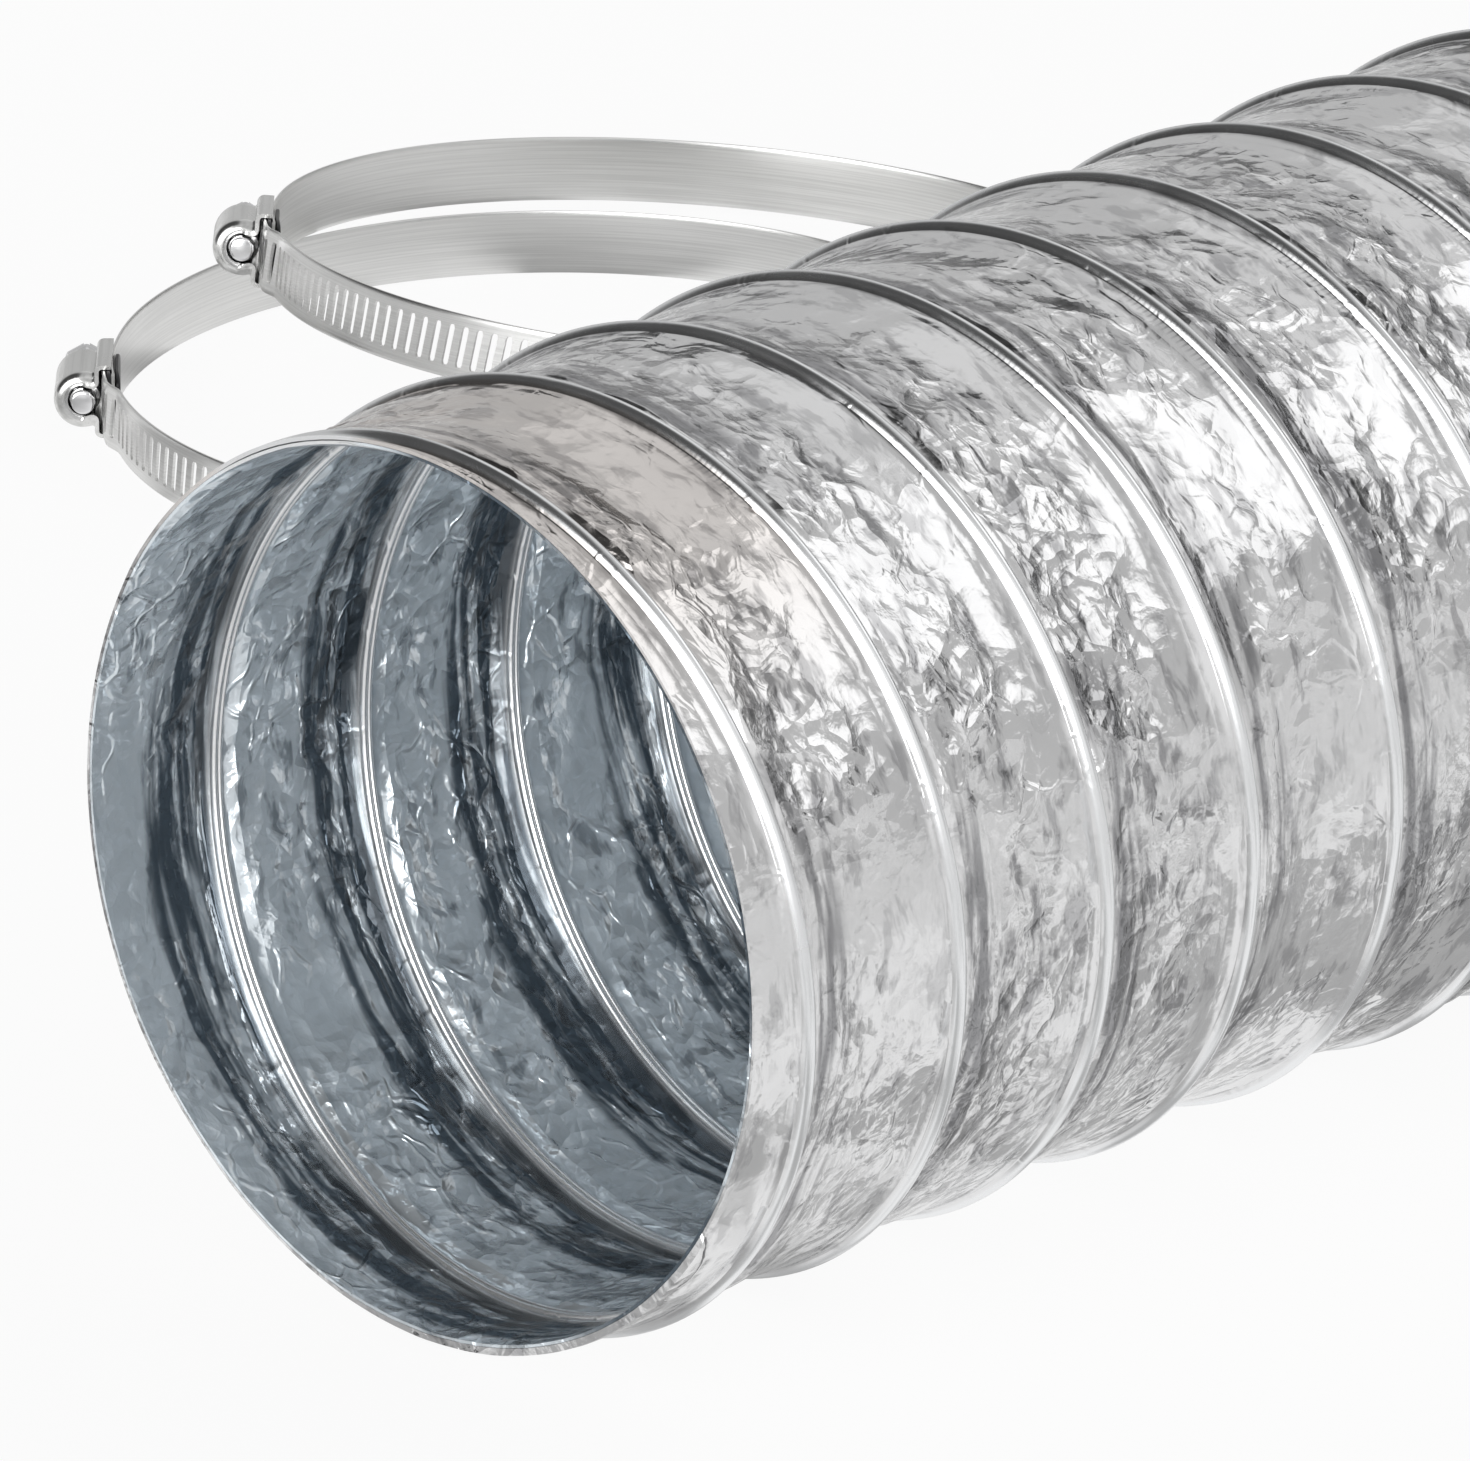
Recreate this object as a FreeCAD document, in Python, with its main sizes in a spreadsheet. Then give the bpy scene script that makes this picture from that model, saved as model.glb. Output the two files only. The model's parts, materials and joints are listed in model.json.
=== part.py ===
import FreeCAD, Part
import math
import os
import Sketcher
from FreeCAD import Placement, Rotation, Vector

# Flexible air duct: two foil plies over a spring-wire helix, with its two worm-drive hose clamps.
# The duct lies along +X with the centre of its front mouth at the origin, and +Z is up.
# The clamps lie open on the same floor beside it, the second one on the first.

doc = FreeCAD.newDocument("FlexibleAirDuct")

# Driving dimensions, in millimetres, degrees or counts
SIZES = {
    # duct
    "duct_bore": 152.4,
    "wire_pitch": 35.3,
    "turn_count": 9,
    "stations_per_turn": 3,
    "ply_wall": 0.4,
    "ply_sag": 1.2,
    "first_crest": 2.2,
    "floor_flat": 0.5,
    # spring wire
    "wire_size": 1.1,
    "wire_sides": 3,
    "wire_gap": 0.25,
    "wire_setback": 1.0,
    # clamp band
    "band_radius": 85.0,
    "band_width": 12.7,
    "band_wall": 0.6,
    "layer_gap": 0.15,
    "plain_end": 6.0,
    "jog_end": 9.0,
    "jog_start": 13.0,
    "tail_end": -4.9,
    "slot_count": 17,
    "slot_step": 3.2,
    "slot_first": 15.5,
    "slot_length": 8.2,
    "slot_width": 1.5,
    "slot_slant": 8.0,
    "tail_slots": 2,
    "tail_slot_first": -1.1,
    # clamp saddle
    "saddle_wall": 0.8,
    "saddle_head_reach": 7.6,
    "saddle_tip_reach": 12.0,
    # clamp housing
    "housing_length": 15.5,
    "housing_wall": 0.8,
    "housing_side_gap": 0.15,
    "housing_foot": 0.2,
    "barrel_gap": 0.6,
    "end_wall": 0.8,
    "window_length": 5.4,
    "window_width": 1.7,
    "window_offset": 4.6,
    # clamp screw
    "thread_radius": 4.2,
    "core_radius": 2.9,
    "thread_depth_in_slot": 0.9,
    "neck_gap": 0.35,
    "tip_length": 1.2,
    "collar_radius": 4.7,
    "collar_length": 1.1,
    "collar_gap": 0.3,
    "head_across_flats": 8.0,
    "head_length": 5.0,
    "head_chamfer": 0.6,
    "driver_slot_width": 1.2,
    "driver_slot_depth": 1.8,
    # where the clamps lie
    "clamp_x": 335.0,
    "clamp_y": 300.0,
    "housing_bearing": 134.3,
    "stack_x": 44.6,
    "stack_y": 3.0,
    "stack_gap": 0.9,
}

# Dimensions that follow from the driving ones
FORMULAS = {
    "duct_length": "turn_count * wire_pitch",
    "liner_outer": "duct_bore / 2 + ply_wall",
    "wire_radius": "liner_outer + wire_gap + wire_size / 2",
    "cover_inner": "wire_radius + wire_size / 2 + wire_gap",
    "cover_middle": "cover_inner + ply_wall + ply_sag",
    "floor_level": "floor_flat - cover_middle - ply_sag",
    "saddle_inner": "band_radius + band_wall + layer_gap",
    "tail_radius": "saddle_inner + saddle_wall + layer_gap",
    "tail_outer": "tail_radius + band_wall",
    "screw_axis": "tail_outer + thread_radius - thread_depth_in_slot",
    "barrel_inner": "thread_radius + barrel_gap",
    "barrel_outer": "barrel_inner + housing_wall",
    "arch_radius": "core_radius + neck_gap",
    "roof_inner": "tail_outer + 2 * layer_gap",
    "roof_outer": "roof_inner + housing_wall",
    "side_inner": "band_width / 2 + housing_side_gap",
    "side_outer": "side_inner + housing_wall",
    "foot_level": "band_radius + housing_foot",
    "slot_angle": "slot_step / band_radius * 180 / pi",
    "tail_slot_angle": "slot_step / tail_radius * 180 / pi",
    "saddle_head_angle": "-saddle_head_reach / saddle_inner * 180 / pi",
    "saddle_tip_angle": "saddle_tip_reach / saddle_inner * 180 / pi",
}

sheet = doc.addObject("Spreadsheet::Sheet", "Sizes")
for row, (alias, number) in enumerate(SIZES.items(), start=1):
    sheet.set(f"A{row}", alias.replace("_", " "))
    sheet.set(f"B{row}", str(number))
    sheet.setAlias(f"B{row}", alias)
doc.recompute()
for row, (alias, formula) in enumerate(FORMULAS.items(), start=len(SIZES) + 2):
    sheet.set(f"A{row}", alias.replace("_", " "))
    sheet.set(f"B{row}", "=" + formula)
    sheet.setAlias(f"B{row}", alias)
doc.recompute()


def size(alias):
    """Value of one cell of the sheet."""
    return float(sheet.get(alias))


def plane_of(body, role):
    """One of the body's own origin planes or axes."""
    return next(item for item in body.Origin.OriginFeatures if item.Role == role)


def new_body(label):
    body = doc.addObject("PartDesign::Body", label)
    body.Label = label
    return body


def new_sketch(body, name, role):
    sketch = body.newObject("Sketcher::SketchObject", name)
    sketch.AttachmentSupport = [(plane_of(body, role), "")]
    sketch.MapMode = "FlatFace"
    return sketch


def constrain(sketch, kind, *items, bound=None):
    """Adds a constraint and, where it holds a size, binds it to the sheet."""
    index = sketch.addConstraint(Sketcher.Constraint(kind, *items))
    if bound:
        sketch.setExpression(f"Constraints[{index}]", bound)
    return index


def circle_in(sketch, radius, bound):
    """A circle on the sketch's origin."""
    edge = sketch.addGeometry(Part.Circle(Vector(0, 0, 0), Vector(0, 0, 1), radius))
    constrain(sketch, "Coincident", edge, 3, -1, 1)
    constrain(sketch, "Radius", edge, radius, bound=bound)
    return edge


def polygon_in(sketch, points):
    """A closed polygon of straight edges, joined corner to corner."""
    first = sketch.GeometryCount
    count = len(points)
    for index in range(count):
        start = Vector(*points[index], 0)
        end = Vector(*points[(index + 1) % count], 0)
        sketch.addGeometry(Part.LineSegment(start, end))
    for index in range(count):
        constrain(sketch, "Coincident", first + index, 2, first + (index + 1) % count, 1)
    return first


def pad(body, sketch, name, length, midplane=False, backward=False):
    feature = body.newObject("PartDesign::Pad", name)
    feature.Profile = sketch
    feature.setExpression("Length", length)
    feature.SideType = "Symmetric" if midplane else "One side"
    feature.Reversed = backward
    return feature


def pocket_outward(body, sketch, name):
    """Cuts away from the sketch's plane, along its normal, through everything."""
    feature = body.newObject("PartDesign::Pocket", name)
    feature.Profile = sketch
    feature.Type = "ThroughAll"
    feature.Reversed = True
    return feature


# Inner ply: a plain foil tube, whose inside is the duct's bore
def make_inner_ply():
    body = new_body("inner_foil_ply")
    sketch = new_sketch(body, "LinerRing", "YZ_Plane")
    circle_in(sketch, size("duct_bore") / 2, "Sizes.duct_bore / 2")
    circle_in(sketch, size("liner_outer"), "Sizes.liner_outer")
    pad(body, sketch, "LinerTube", "Sizes.duct_length")
    return body


# Outer ply: the foil stands up over the wire and sags between its turns.
# Each station is a circle whose centre orbits the duct's axis once per turn of the wire.
def crest_angle(x):
    """Angle of the wire at x, from the top, turning about +X."""
    return 2 * math.pi * (x - size("first_crest")) / size("wire_pitch")


def make_ribbed_blank():
    per_turn = int(size("stations_per_turn"))
    rings = []
    for station in range(int(size("turn_count")) * per_turn + 1):
        x = station * size("wire_pitch") / per_turn
        angle = crest_angle(x)
        centre = Vector(x, -size("ply_sag") * math.sin(angle), size("ply_sag") * math.cos(angle))
        ring = Part.Circle(centre, Vector(1, 0, 0), size("cover_middle"))
        rings.append(Part.Wire(ring.toShape()))
    blank = doc.addObject("Part::Feature", "CoverBlank")
    blank.Shape = Part.makeLoft(rings, True, True)
    return blank


def make_outer_ply():
    bore = doc.addObject("Part::Cylinder", "CoverBore")
    bore.setExpression("Radius", "Sizes.cover_inner")
    bore.setExpression("Height", "Sizes.duct_length + 2 * Sizes.wire_pitch")
    bore.Placement = Placement(Vector(-size("wire_pitch"), 0, 0), Rotation(Vector(0, 1, 0), 90))
    under = doc.addObject("Part::Box", "UnderFloor")
    under.setExpression("Length", "Sizes.duct_length + 2 * Sizes.wire_pitch")
    under.setExpression("Width", "2 * Sizes.duct_bore")
    under.setExpression("Height", "Sizes.duct_bore")
    under.setExpression("Placement.Base.x", "-Sizes.wire_pitch")
    under.setExpression("Placement.Base.y", "-Sizes.duct_bore")
    under.setExpression("Placement.Base.z", "Sizes.floor_level - Sizes.duct_bore")
    tube = doc.addObject("Part::Cut", "CoverTube")
    tube.Base = make_ribbed_blank()
    tube.Tool = bore
    cover = doc.addObject("Part::Cut", "outer_foil_ply")
    cover.Label = "outer_foil_ply"
    cover.Base = tube
    cover.Tool = under
    return cover


# Spring wire: one unbroken right-hand helix between the plies
def helix_point(x):
    angle = crest_angle(x)
    return Vector(x, -size("wire_radius") * math.sin(angle), size("wire_radius") * math.cos(angle))


def helix_direction(x):
    angle = crest_angle(x)
    slope = 2 * math.pi * size("wire_radius") / size("wire_pitch")
    return Vector(1, -slope * math.cos(angle), -slope * math.sin(angle)).normalize()


def arc_through(start, corner, end):
    """The arc from start to end that is tangent to the two lines through corner."""
    middle = (start + end) * 0.5
    half_chord = (end - start).Length / 2
    rise = (corner - middle).Length
    sagitta = half_chord * math.tan(math.atan2(rise, half_chord) / 2)
    top = middle + (corner - middle).normalize() * sagitta
    return Part.Arc(start, top, end).toShape()


def biarc(start, start_direction, end, end_direction):
    """Two tangent arcs of equal reach between two points of the helix."""
    gap = end - start
    both = start_direction + end_direction
    a = both.dot(both) - 4
    b = -2 * gap.dot(both)
    c = gap.dot(gap)
    reach = (-b - math.sqrt(b * b - 4 * a * c)) / (2 * a)
    first_corner = start + start_direction * reach
    second_corner = end - end_direction * reach
    joint = (first_corner + second_corner) * 0.5
    return [arc_through(start, first_corner, joint), arc_through(joint, second_corner, end)]


def make_wire():
    halves = int(size("turn_count")) * 2
    x_start = size("wire_setback")
    step = (size("duct_length") - 2 * x_start) / halves
    marks = [x_start + i * step for i in range(halves + 1)]
    arcs = []
    for near, far in zip(marks, marks[1:]):
        arcs += biarc(helix_point(near), helix_direction(near), helix_point(far), helix_direction(far))
    path = Part.Wire(arcs)
    along = helix_direction(x_start)
    outward = Vector(0, helix_point(x_start).y, helix_point(x_start).z).normalize()
    across = along.cross(outward).normalize()
    sides = int(size("wire_sides"))
    spokes = [2 * math.pi * i / sides for i in range(sides + 1)]
    profile = Part.makePolygon([
        helix_point(x_start) + (outward * math.cos(t) + across * math.sin(t)) * size("wire_size") / 2
        for t in spokes
    ])
    feature = doc.addObject("Part::Feature", "spring_wire_helix")
    feature.Label = "spring_wire_helix"
    feature.Shape = path.makePipeShell([profile], True, False)
    report_wire_gap(marks[0], marks[-1], path.Length, feature.Shape.Volume)
    return feature


def report_wire_gap(x_start, x_end, length, volume):
    """Prints the least gap between the wire and itself, measured on points one turn apart."""
    pitch = size("wire_pitch")
    samples = 720
    span = x_end - x_start - pitch
    least = pitch
    for i in range(samples):
        here = helix_point(x_start + span * i / samples)
        for offset in range(-20, 21):
            there = helix_point(here.x + pitch * (1 + offset / 400))
            least = min(least, (there - here).Length)
    sides = int(size("wire_sides"))
    ideal = sides / 2 * math.sin(2 * math.pi / sides) * (size("wire_size") / 2) ** 2 * length
    print(f"wire: {length:.1f} long, volume {volume:.1f} for {ideal:.1f}, least gap to itself",
          f"{least - size('wire_size'):.2f}")


# Clamp band: a strip bent to a ring, its slotted end stepped out over the saddle
def make_band(prefix):
    body = new_body(f"{prefix}_band")
    sketch = new_sketch(body, f"{prefix}BandEdge", "XY_Plane")
    plain, jog, seat, tail = (
        math.radians(size(name)) for name in ("plain_end", "jog_start", "jog_end", "tail_end")
    )
    low, high = size("band_radius"), size("tail_radius")
    wall = size("band_wall")
    full = 2 * math.pi

    def arc(radius, start, end):
        circle = Part.Circle(Vector(0, 0, 0), Vector(0, 0, 1), radius)
        return sketch.addGeometry(Part.ArcOfCircle(circle, start, end))

    def line(radius_a, angle_a, radius_b, angle_b):
        ends = [
            Vector(r * math.cos(t), r * math.sin(t), 0)
            for r, t in ((radius_a, angle_a), (radius_b, angle_b))
        ]
        return sketch.addGeometry(Part.LineSegment(*ends))

    ring_in = arc(low, jog, full + plain)
    ring_out = arc(low + wall, jog, full + plain)
    tail_in = arc(high, tail, seat)
    tail_out = arc(high + wall, tail, seat)
    plain_cap = line(low, plain, low + wall, plain)
    tail_cap = line(high, tail, high + wall, tail)
    jog_in = line(high, seat, low, jog)
    jog_out = line(high + wall, seat, low + wall, jog)
    seat_ray = line(0, 0, high + wall, seat)
    jog_ray = line(0, 0, low + wall, jog)
    for ray in (seat_ray, jog_ray):
        sketch.setConstruction(ray, True)
    for edge, bound in (
        (ring_in, "Sizes.band_radius"),
        (ring_out, "Sizes.band_radius + Sizes.band_wall"),
        (tail_in, "Sizes.tail_radius"),
        (tail_out, "Sizes.tail_outer"),
    ):
        constrain(sketch, "Coincident", edge, 3, -1, 1)
        constrain(sketch, "Radius", edge, sketch.Geometry[edge].Radius, bound=bound)
    for first, second in (
        ((ring_in, 2), (plain_cap, 1)),
        ((ring_out, 2), (plain_cap, 2)),
        ((tail_in, 1), (tail_cap, 1)),
        ((tail_out, 1), (tail_cap, 2)),
        ((tail_in, 2), (jog_in, 1)),
        ((ring_in, 1), (jog_in, 2)),
        ((tail_out, 2), (jog_out, 1)),
        ((ring_out, 1), (jog_out, 2)),
        ((seat_ray, 1), (-1, 1)),
        ((jog_ray, 1), (-1, 1)),
        ((seat_ray, 2), (tail_out, 2)),
        ((jog_ray, 2), (ring_out, 1)),
    ):
        constrain(sketch, "Coincident", *first, *second)
    constrain(sketch, "PointOnObject", tail_in, 2, seat_ray)
    constrain(sketch, "PointOnObject", ring_in, 1, jog_ray)
    constrain(sketch, "PointOnObject", -1, 1, plain_cap)
    constrain(sketch, "PointOnObject", -1, 1, tail_cap)
    for edge, angle, bound in (
        (plain_cap, plain, "Sizes.plain_end"),
        (tail_cap, tail, "Sizes.tail_end"),
        (seat_ray, seat, "Sizes.jog_end"),
        (jog_ray, jog, "Sizes.jog_start"),
    ):
        constrain(sketch, "Angle", edge, angle, bound=bound)
    pad(body, sketch, f"{prefix}Strip", "Sizes.band_width", midplane=True)
    doc.recompute()
    slot_row(body, f"{prefix}Slot", 0, "Sizes.slot_first", "Sizes.slot_count", "Sizes.slot_angle")
    slot_row(body, f"{prefix}TailSlot", "Sizes.saddle_inner", "Sizes.tail_slot_first",
             "Sizes.tail_slots", "Sizes.tail_slot_angle")
    return body


def slot_row(body, name, plane_radius, first_angle, count, step):
    """A row of slanted slots, each cut outward from a plane across the ring."""
    sketch = new_sketch(body, name + "Outline", "YZ_Plane")
    sketch.AttachmentOffset = Placement(Vector(0, 0, 0), Rotation(Vector(0, 1, 0), 1))
    sketch.setExpression("AttachmentOffset.Rotation.Angle", first_angle)
    if plane_radius:
        for axis, share in (("x", "sin"), ("z", "cos")):
            sketch.setExpression(
                f"AttachmentOffset.Base.{axis}", f"{plane_radius} * {share}({first_angle})"
            )
    half_width = size("slot_width") / 2
    half_length = size("slot_length") / 2
    lean = half_length * math.tan(math.radians(size("slot_slant")))
    first = polygon_in(sketch, [
        (-half_width - lean, -half_length),
        (half_width - lean, -half_length),
        (half_width + lean, half_length),
        (-half_width + lean, half_length),
    ])
    constrain(sketch, "Horizontal", first)
    constrain(sketch, "Horizontal", first + 2)
    constrain(sketch, "Parallel", first + 1, first + 3)
    constrain(sketch, "Symmetric", first, 1, first + 2, 1, -1, 1)
    constrain(sketch, "DistanceX", first, 1, first, 2, size("slot_width"), bound="Sizes.slot_width")
    constrain(sketch, "DistanceY", first, 1, first + 2, 2, size("slot_length"),
              bound="Sizes.slot_length")
    constrain(sketch, "Angle", first + 1, math.radians(90 - size("slot_slant")),
              bound="90 - Sizes.slot_slant")
    cut = pocket_outward(body, sketch, name)
    doc.recompute()
    row = body.newObject("PartDesign::PolarPattern", name + "Row")
    row.Originals = [cut]
    row.Axis = (plane_of(body, "Z_Axis"), [""])
    row.setExpression("Occurrences", count)
    row.setExpression("Angle", f"({count} - 1) * {step}")
    body.Tip = row
    doc.recompute()


# Clamp saddle: the curved plate between the band's plain end and its slotted end
def make_saddle(prefix):
    body = new_body(f"{prefix}_saddle")
    sketch = new_sketch(body, f"{prefix}SaddleEdge", "XY_Plane")
    head_end, tip_end = math.radians(size("saddle_head_angle")), math.radians(size("saddle_tip_angle"))
    radii = (size("saddle_inner"), size("saddle_inner") + size("saddle_wall"))
    arcs = []
    for radius, bound in zip(radii, ("Sizes.saddle_inner", "Sizes.saddle_inner + Sizes.saddle_wall")):
        circle = Part.Circle(Vector(0, 0, 0), Vector(0, 0, 1), radius)
        arcs.append(sketch.addGeometry(Part.ArcOfCircle(circle, head_end, tip_end)))
        constrain(sketch, "Coincident", arcs[-1], 3, -1, 1)
        constrain(sketch, "Radius", arcs[-1], radius, bound=bound)
    for end, angle, bound in (
        (1, head_end, "Sizes.saddle_head_angle"), (2, tip_end, "Sizes.saddle_tip_angle")
    ):
        ends = [Vector(r * math.cos(angle), r * math.sin(angle), 0) for r in radii]
        cap = sketch.addGeometry(Part.LineSegment(*ends))
        constrain(sketch, "Coincident", arcs[0], end, cap, 1)
        constrain(sketch, "Coincident", arcs[1], end, cap, 2)
        constrain(sketch, "PointOnObject", -1, 1, cap)
        constrain(sketch, "Angle", cap, angle, bound=bound)
    pad(body, sketch, f"{prefix}SaddlePlate", "Sizes.band_width", midplane=True)
    return body


# Clamp housing: a pressed cover with a barrel over the screw and walls beside the band
def arch_sketch(body, name, inner, inner_bound, with_walls):
    """Section across the screw: x is the distance from the ring's axis, y runs across the band."""
    sketch = new_sketch(body, name, "XZ_Plane")
    axis, outer = size("screw_axis"), size("barrel_outer")
    roof_in, roof_out = size("roof_inner"), size("roof_outer")
    side_in, side_out, foot = size("side_inner"), size("side_outer"), size("foot_level")

    def half_chord(radius, level):
        return math.sqrt(radius ** 2 - (axis - level) ** 2)

    def arc(radius, level):
        angle = math.atan2(half_chord(radius, level), level - axis)
        circle = Part.Circle(Vector(axis, 0, 0), Vector(0, 0, 1), radius)
        return sketch.addGeometry(Part.ArcOfCircle(circle, -angle, angle))

    crown = arc(outer, roof_out if with_walls else roof_in)
    hollow = arc(inner, roof_in)
    low_out = half_chord(outer, roof_out if with_walls else roof_in)
    low_in = half_chord(inner, roof_in)
    constrain(sketch, "PointOnObject", crown, 3, -1)
    constrain(sketch, "Coincident", crown, 3, hollow, 3)
    constrain(sketch, "DistanceX", -1, 1, crown, 3, axis, bound="Sizes.screw_axis")
    constrain(sketch, "Radius", crown, outer, bound="Sizes.barrel_outer")
    constrain(sketch, "Radius", hollow, inner, bound=inner_bound)
    for side, end in ((-1, 1), (1, 2)):
        if with_walls:
            corners = [
                (roof_out, side * low_out), (roof_out, side * side_out), (foot, side * side_out),
                (foot, side * side_in), (roof_in, side * side_in), (roof_in, side * low_in),
            ]
        else:
            corners = [(roof_in, side * low_out), (roof_in, side * low_in)]
        first = sketch.GeometryCount
        for near, far in zip(corners, corners[1:]):
            sketch.addGeometry(Part.LineSegment(Vector(*near, 0), Vector(*far, 0)))
        last = sketch.GeometryCount - 1
        for index in range(first, last):
            constrain(sketch, "Coincident", index, 2, index + 1, 1)
        constrain(sketch, "Coincident", crown, end, first, 1)
        constrain(sketch, "Coincident", hollow, end, last, 2)
        for index in range(first, last + 1):
            across = (index - first) % 2 == 0
            constrain(sketch, "Vertical" if across else "Horizontal", index)
        constrain(sketch, "DistanceX", -1, 1, last, 2, roof_in, bound="Sizes.roof_inner")
        if with_walls:
            constrain(sketch, "DistanceX", -1, 1, first, 1, roof_out, bound="Sizes.roof_outer")
            constrain(sketch, "DistanceX", -1, 1, first + 2, 1, foot, bound="Sizes.foot_level")
            order = ((-1, 1), (first, 2)) if side > 0 else ((first, 2), (-1, 1))
            constrain(sketch, "DistanceY", *order[0], *order[1], side_out, bound="Sizes.side_outer")
            order = ((-1, 1), (last, 1)) if side > 0 else ((last, 1), (-1, 1))
            constrain(sketch, "DistanceY", *order[0], *order[1], side_in, bound="Sizes.side_inner")
    return sketch


def make_housing(prefix):
    body = new_body(f"{prefix}_housing")
    cover = arch_sketch(body, f"{prefix}Cover", size("barrel_inner"), "Sizes.barrel_inner", True)
    pad(body, cover, f"{prefix}Shell", "Sizes.housing_length", midplane=True)
    doc.recompute()
    for end, offset in (
        ("Tip", "-Sizes.housing_length / 2"),
        ("Head", "Sizes.housing_length / 2 - Sizes.end_wall"),
    ):
        arch = arch_sketch(body, f"{prefix}{end}Arch", size("arch_radius"), "Sizes.arch_radius", False)
        arch.setExpression("AttachmentOffset.Base.z", offset)
        pad(body, arch, f"{prefix}{end}Wall", "Sizes.end_wall")
        doc.recompute()
    window = new_sketch(body, f"{prefix}WindowOutline", "YZ_Plane")
    window.setExpression("AttachmentOffset.Base.z", "Sizes.screw_axis")
    y, half_width, half_length = size("window_offset"), size("window_width") / 2, size("window_length") / 2
    first = polygon_in(window, [
        (y - half_width, -half_length), (y + half_width, -half_length),
        (y + half_width, half_length), (y - half_width, half_length),
    ])
    constrain(window, "Horizontal", first)
    constrain(window, "Horizontal", first + 2)
    constrain(window, "Vertical", first + 1)
    constrain(window, "Symmetric", first, 1, first + 3, 1, -1)
    constrain(window, "DistanceX", first, 1, first, 2, 2 * half_width, bound="Sizes.window_width")
    constrain(window, "DistanceY", first + 1, 1, first + 1, 2, 2 * half_length,
              bound="Sizes.window_length")
    constrain(window, "DistanceX", -1, 1, first, 1, y - half_width,
              bound="Sizes.window_offset - Sizes.window_width / 2")
    pocket_outward(body, window, f"{prefix}Window")
    return body


# Clamp screw: worm core, collar and slotted hexagon head, modelled about its own axis
def make_screw(prefix):
    body = new_body(f"{prefix}_screw")
    inside = "(Sizes.housing_length / 2 + Sizes.tip_length)"
    sketch = new_sketch(body, f"{prefix}CoreRing", "XY_Plane")
    sketch.setExpression("AttachmentOffset.Base.z", f"-{inside}")
    circle_in(sketch, size("core_radius"), "Sizes.core_radius")
    pad(body, sketch, f"{prefix}Core", f"{inside} + Sizes.housing_length / 2 + Sizes.collar_gap")
    collar = new_sketch(body, f"{prefix}CollarRing", "XY_Plane")
    collar.setExpression("AttachmentOffset.Base.z", "Sizes.housing_length / 2 + Sizes.collar_gap")
    circle_in(collar, size("collar_radius"), "Sizes.collar_radius")
    pad(body, collar, f"{prefix}Collar", "Sizes.collar_length")
    head = new_sketch(body, f"{prefix}HeadOutline", "XY_Plane")
    head_base = "Sizes.housing_length / 2 + Sizes.collar_gap + Sizes.collar_length"
    head.setExpression("AttachmentOffset.Base.z", head_base)
    corner = size("head_across_flats") / math.sqrt(3)
    turns = [math.radians(60 * i) for i in range(6)]
    first = polygon_in(head, [(corner * math.cos(t), corner * math.sin(t)) for t in turns])
    guide = head.addGeometry(Part.Circle(Vector(0, 0, 0), Vector(0, 0, 1), corner), True)
    constrain(head, "Coincident", guide, 3, -1, 1)
    constrain(head, "Radius", guide, corner, bound="Sizes.head_across_flats / sqrt(3)")
    for index in range(6):
        constrain(head, "PointOnObject", first + index, 1, guide)
        if index:
            constrain(head, "Equal", first, first + index)
    constrain(head, "PointOnObject", first, 1, -1)
    hexagon = pad(body, head, f"{prefix}Head", "Sizes.head_length")
    doc.recompute()
    top_edges = [
        f"Edge{number}" for number, edge in enumerate(hexagon.Shape.Edges, start=1)
        if min(vertex.Z for vertex in edge.Vertexes) > hexagon.Shape.BoundBox.ZMax - 1e-3
    ]
    bevel = body.newObject("PartDesign::Chamfer", f"{prefix}HeadBevel")
    bevel.Base = (hexagon, top_edges)
    bevel.setExpression("Size", "Sizes.head_chamfer")
    doc.recompute()
    slot = new_sketch(body, f"{prefix}DriverSlotOutline", "XY_Plane")
    slot.setExpression(
        "AttachmentOffset.Base.z", f"{head_base} + Sizes.head_length - Sizes.driver_slot_depth"
    )
    half, reach = size("driver_slot_width") / 2, size("head_across_flats")
    first = polygon_in(slot, [(-reach, -half), (reach, -half), (reach, half), (-reach, half)])
    for index in (0, 2):
        constrain(slot, "Horizontal", first + index)
        constrain(slot, "Vertical", first + index + 1)
    constrain(slot, "Symmetric", first, 1, first + 2, 1, -1, 1)
    constrain(slot, "DistanceX", first, 1, first, 2, 2 * reach, bound="2 * Sizes.head_across_flats")
    constrain(slot, "DistanceY", first + 1, 1, first + 1, 2, 2 * half,
              bound="Sizes.driver_slot_width")
    pocket_outward(body, slot, f"{prefix}DriverSlot")
    return body


# Where each clamp lies. In its own frame the ring's axis is Z and the housing is at +X.
def tilt_of_first():
    """A clamp on the floor leans a little, from its far edge up to the wider housing."""
    rise = size("side_outer") - size("band_width") / 2
    return math.asin(rise / (size("roof_outer") + size("band_radius")))


def place_first():
    lean = tilt_of_first()
    outer = size("band_radius") + size("band_wall")
    height = size("band_width") / 2 + outer * math.sin(lean)
    turn = Rotation(Vector(0, 0, 1), size("housing_bearing"))
    tilt = Rotation(Vector(0, 1, 0), -math.degrees(lean))
    return Placement(Vector(size("clamp_x"), size("clamp_y"), size("floor_level") + height), turn * tilt)


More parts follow.
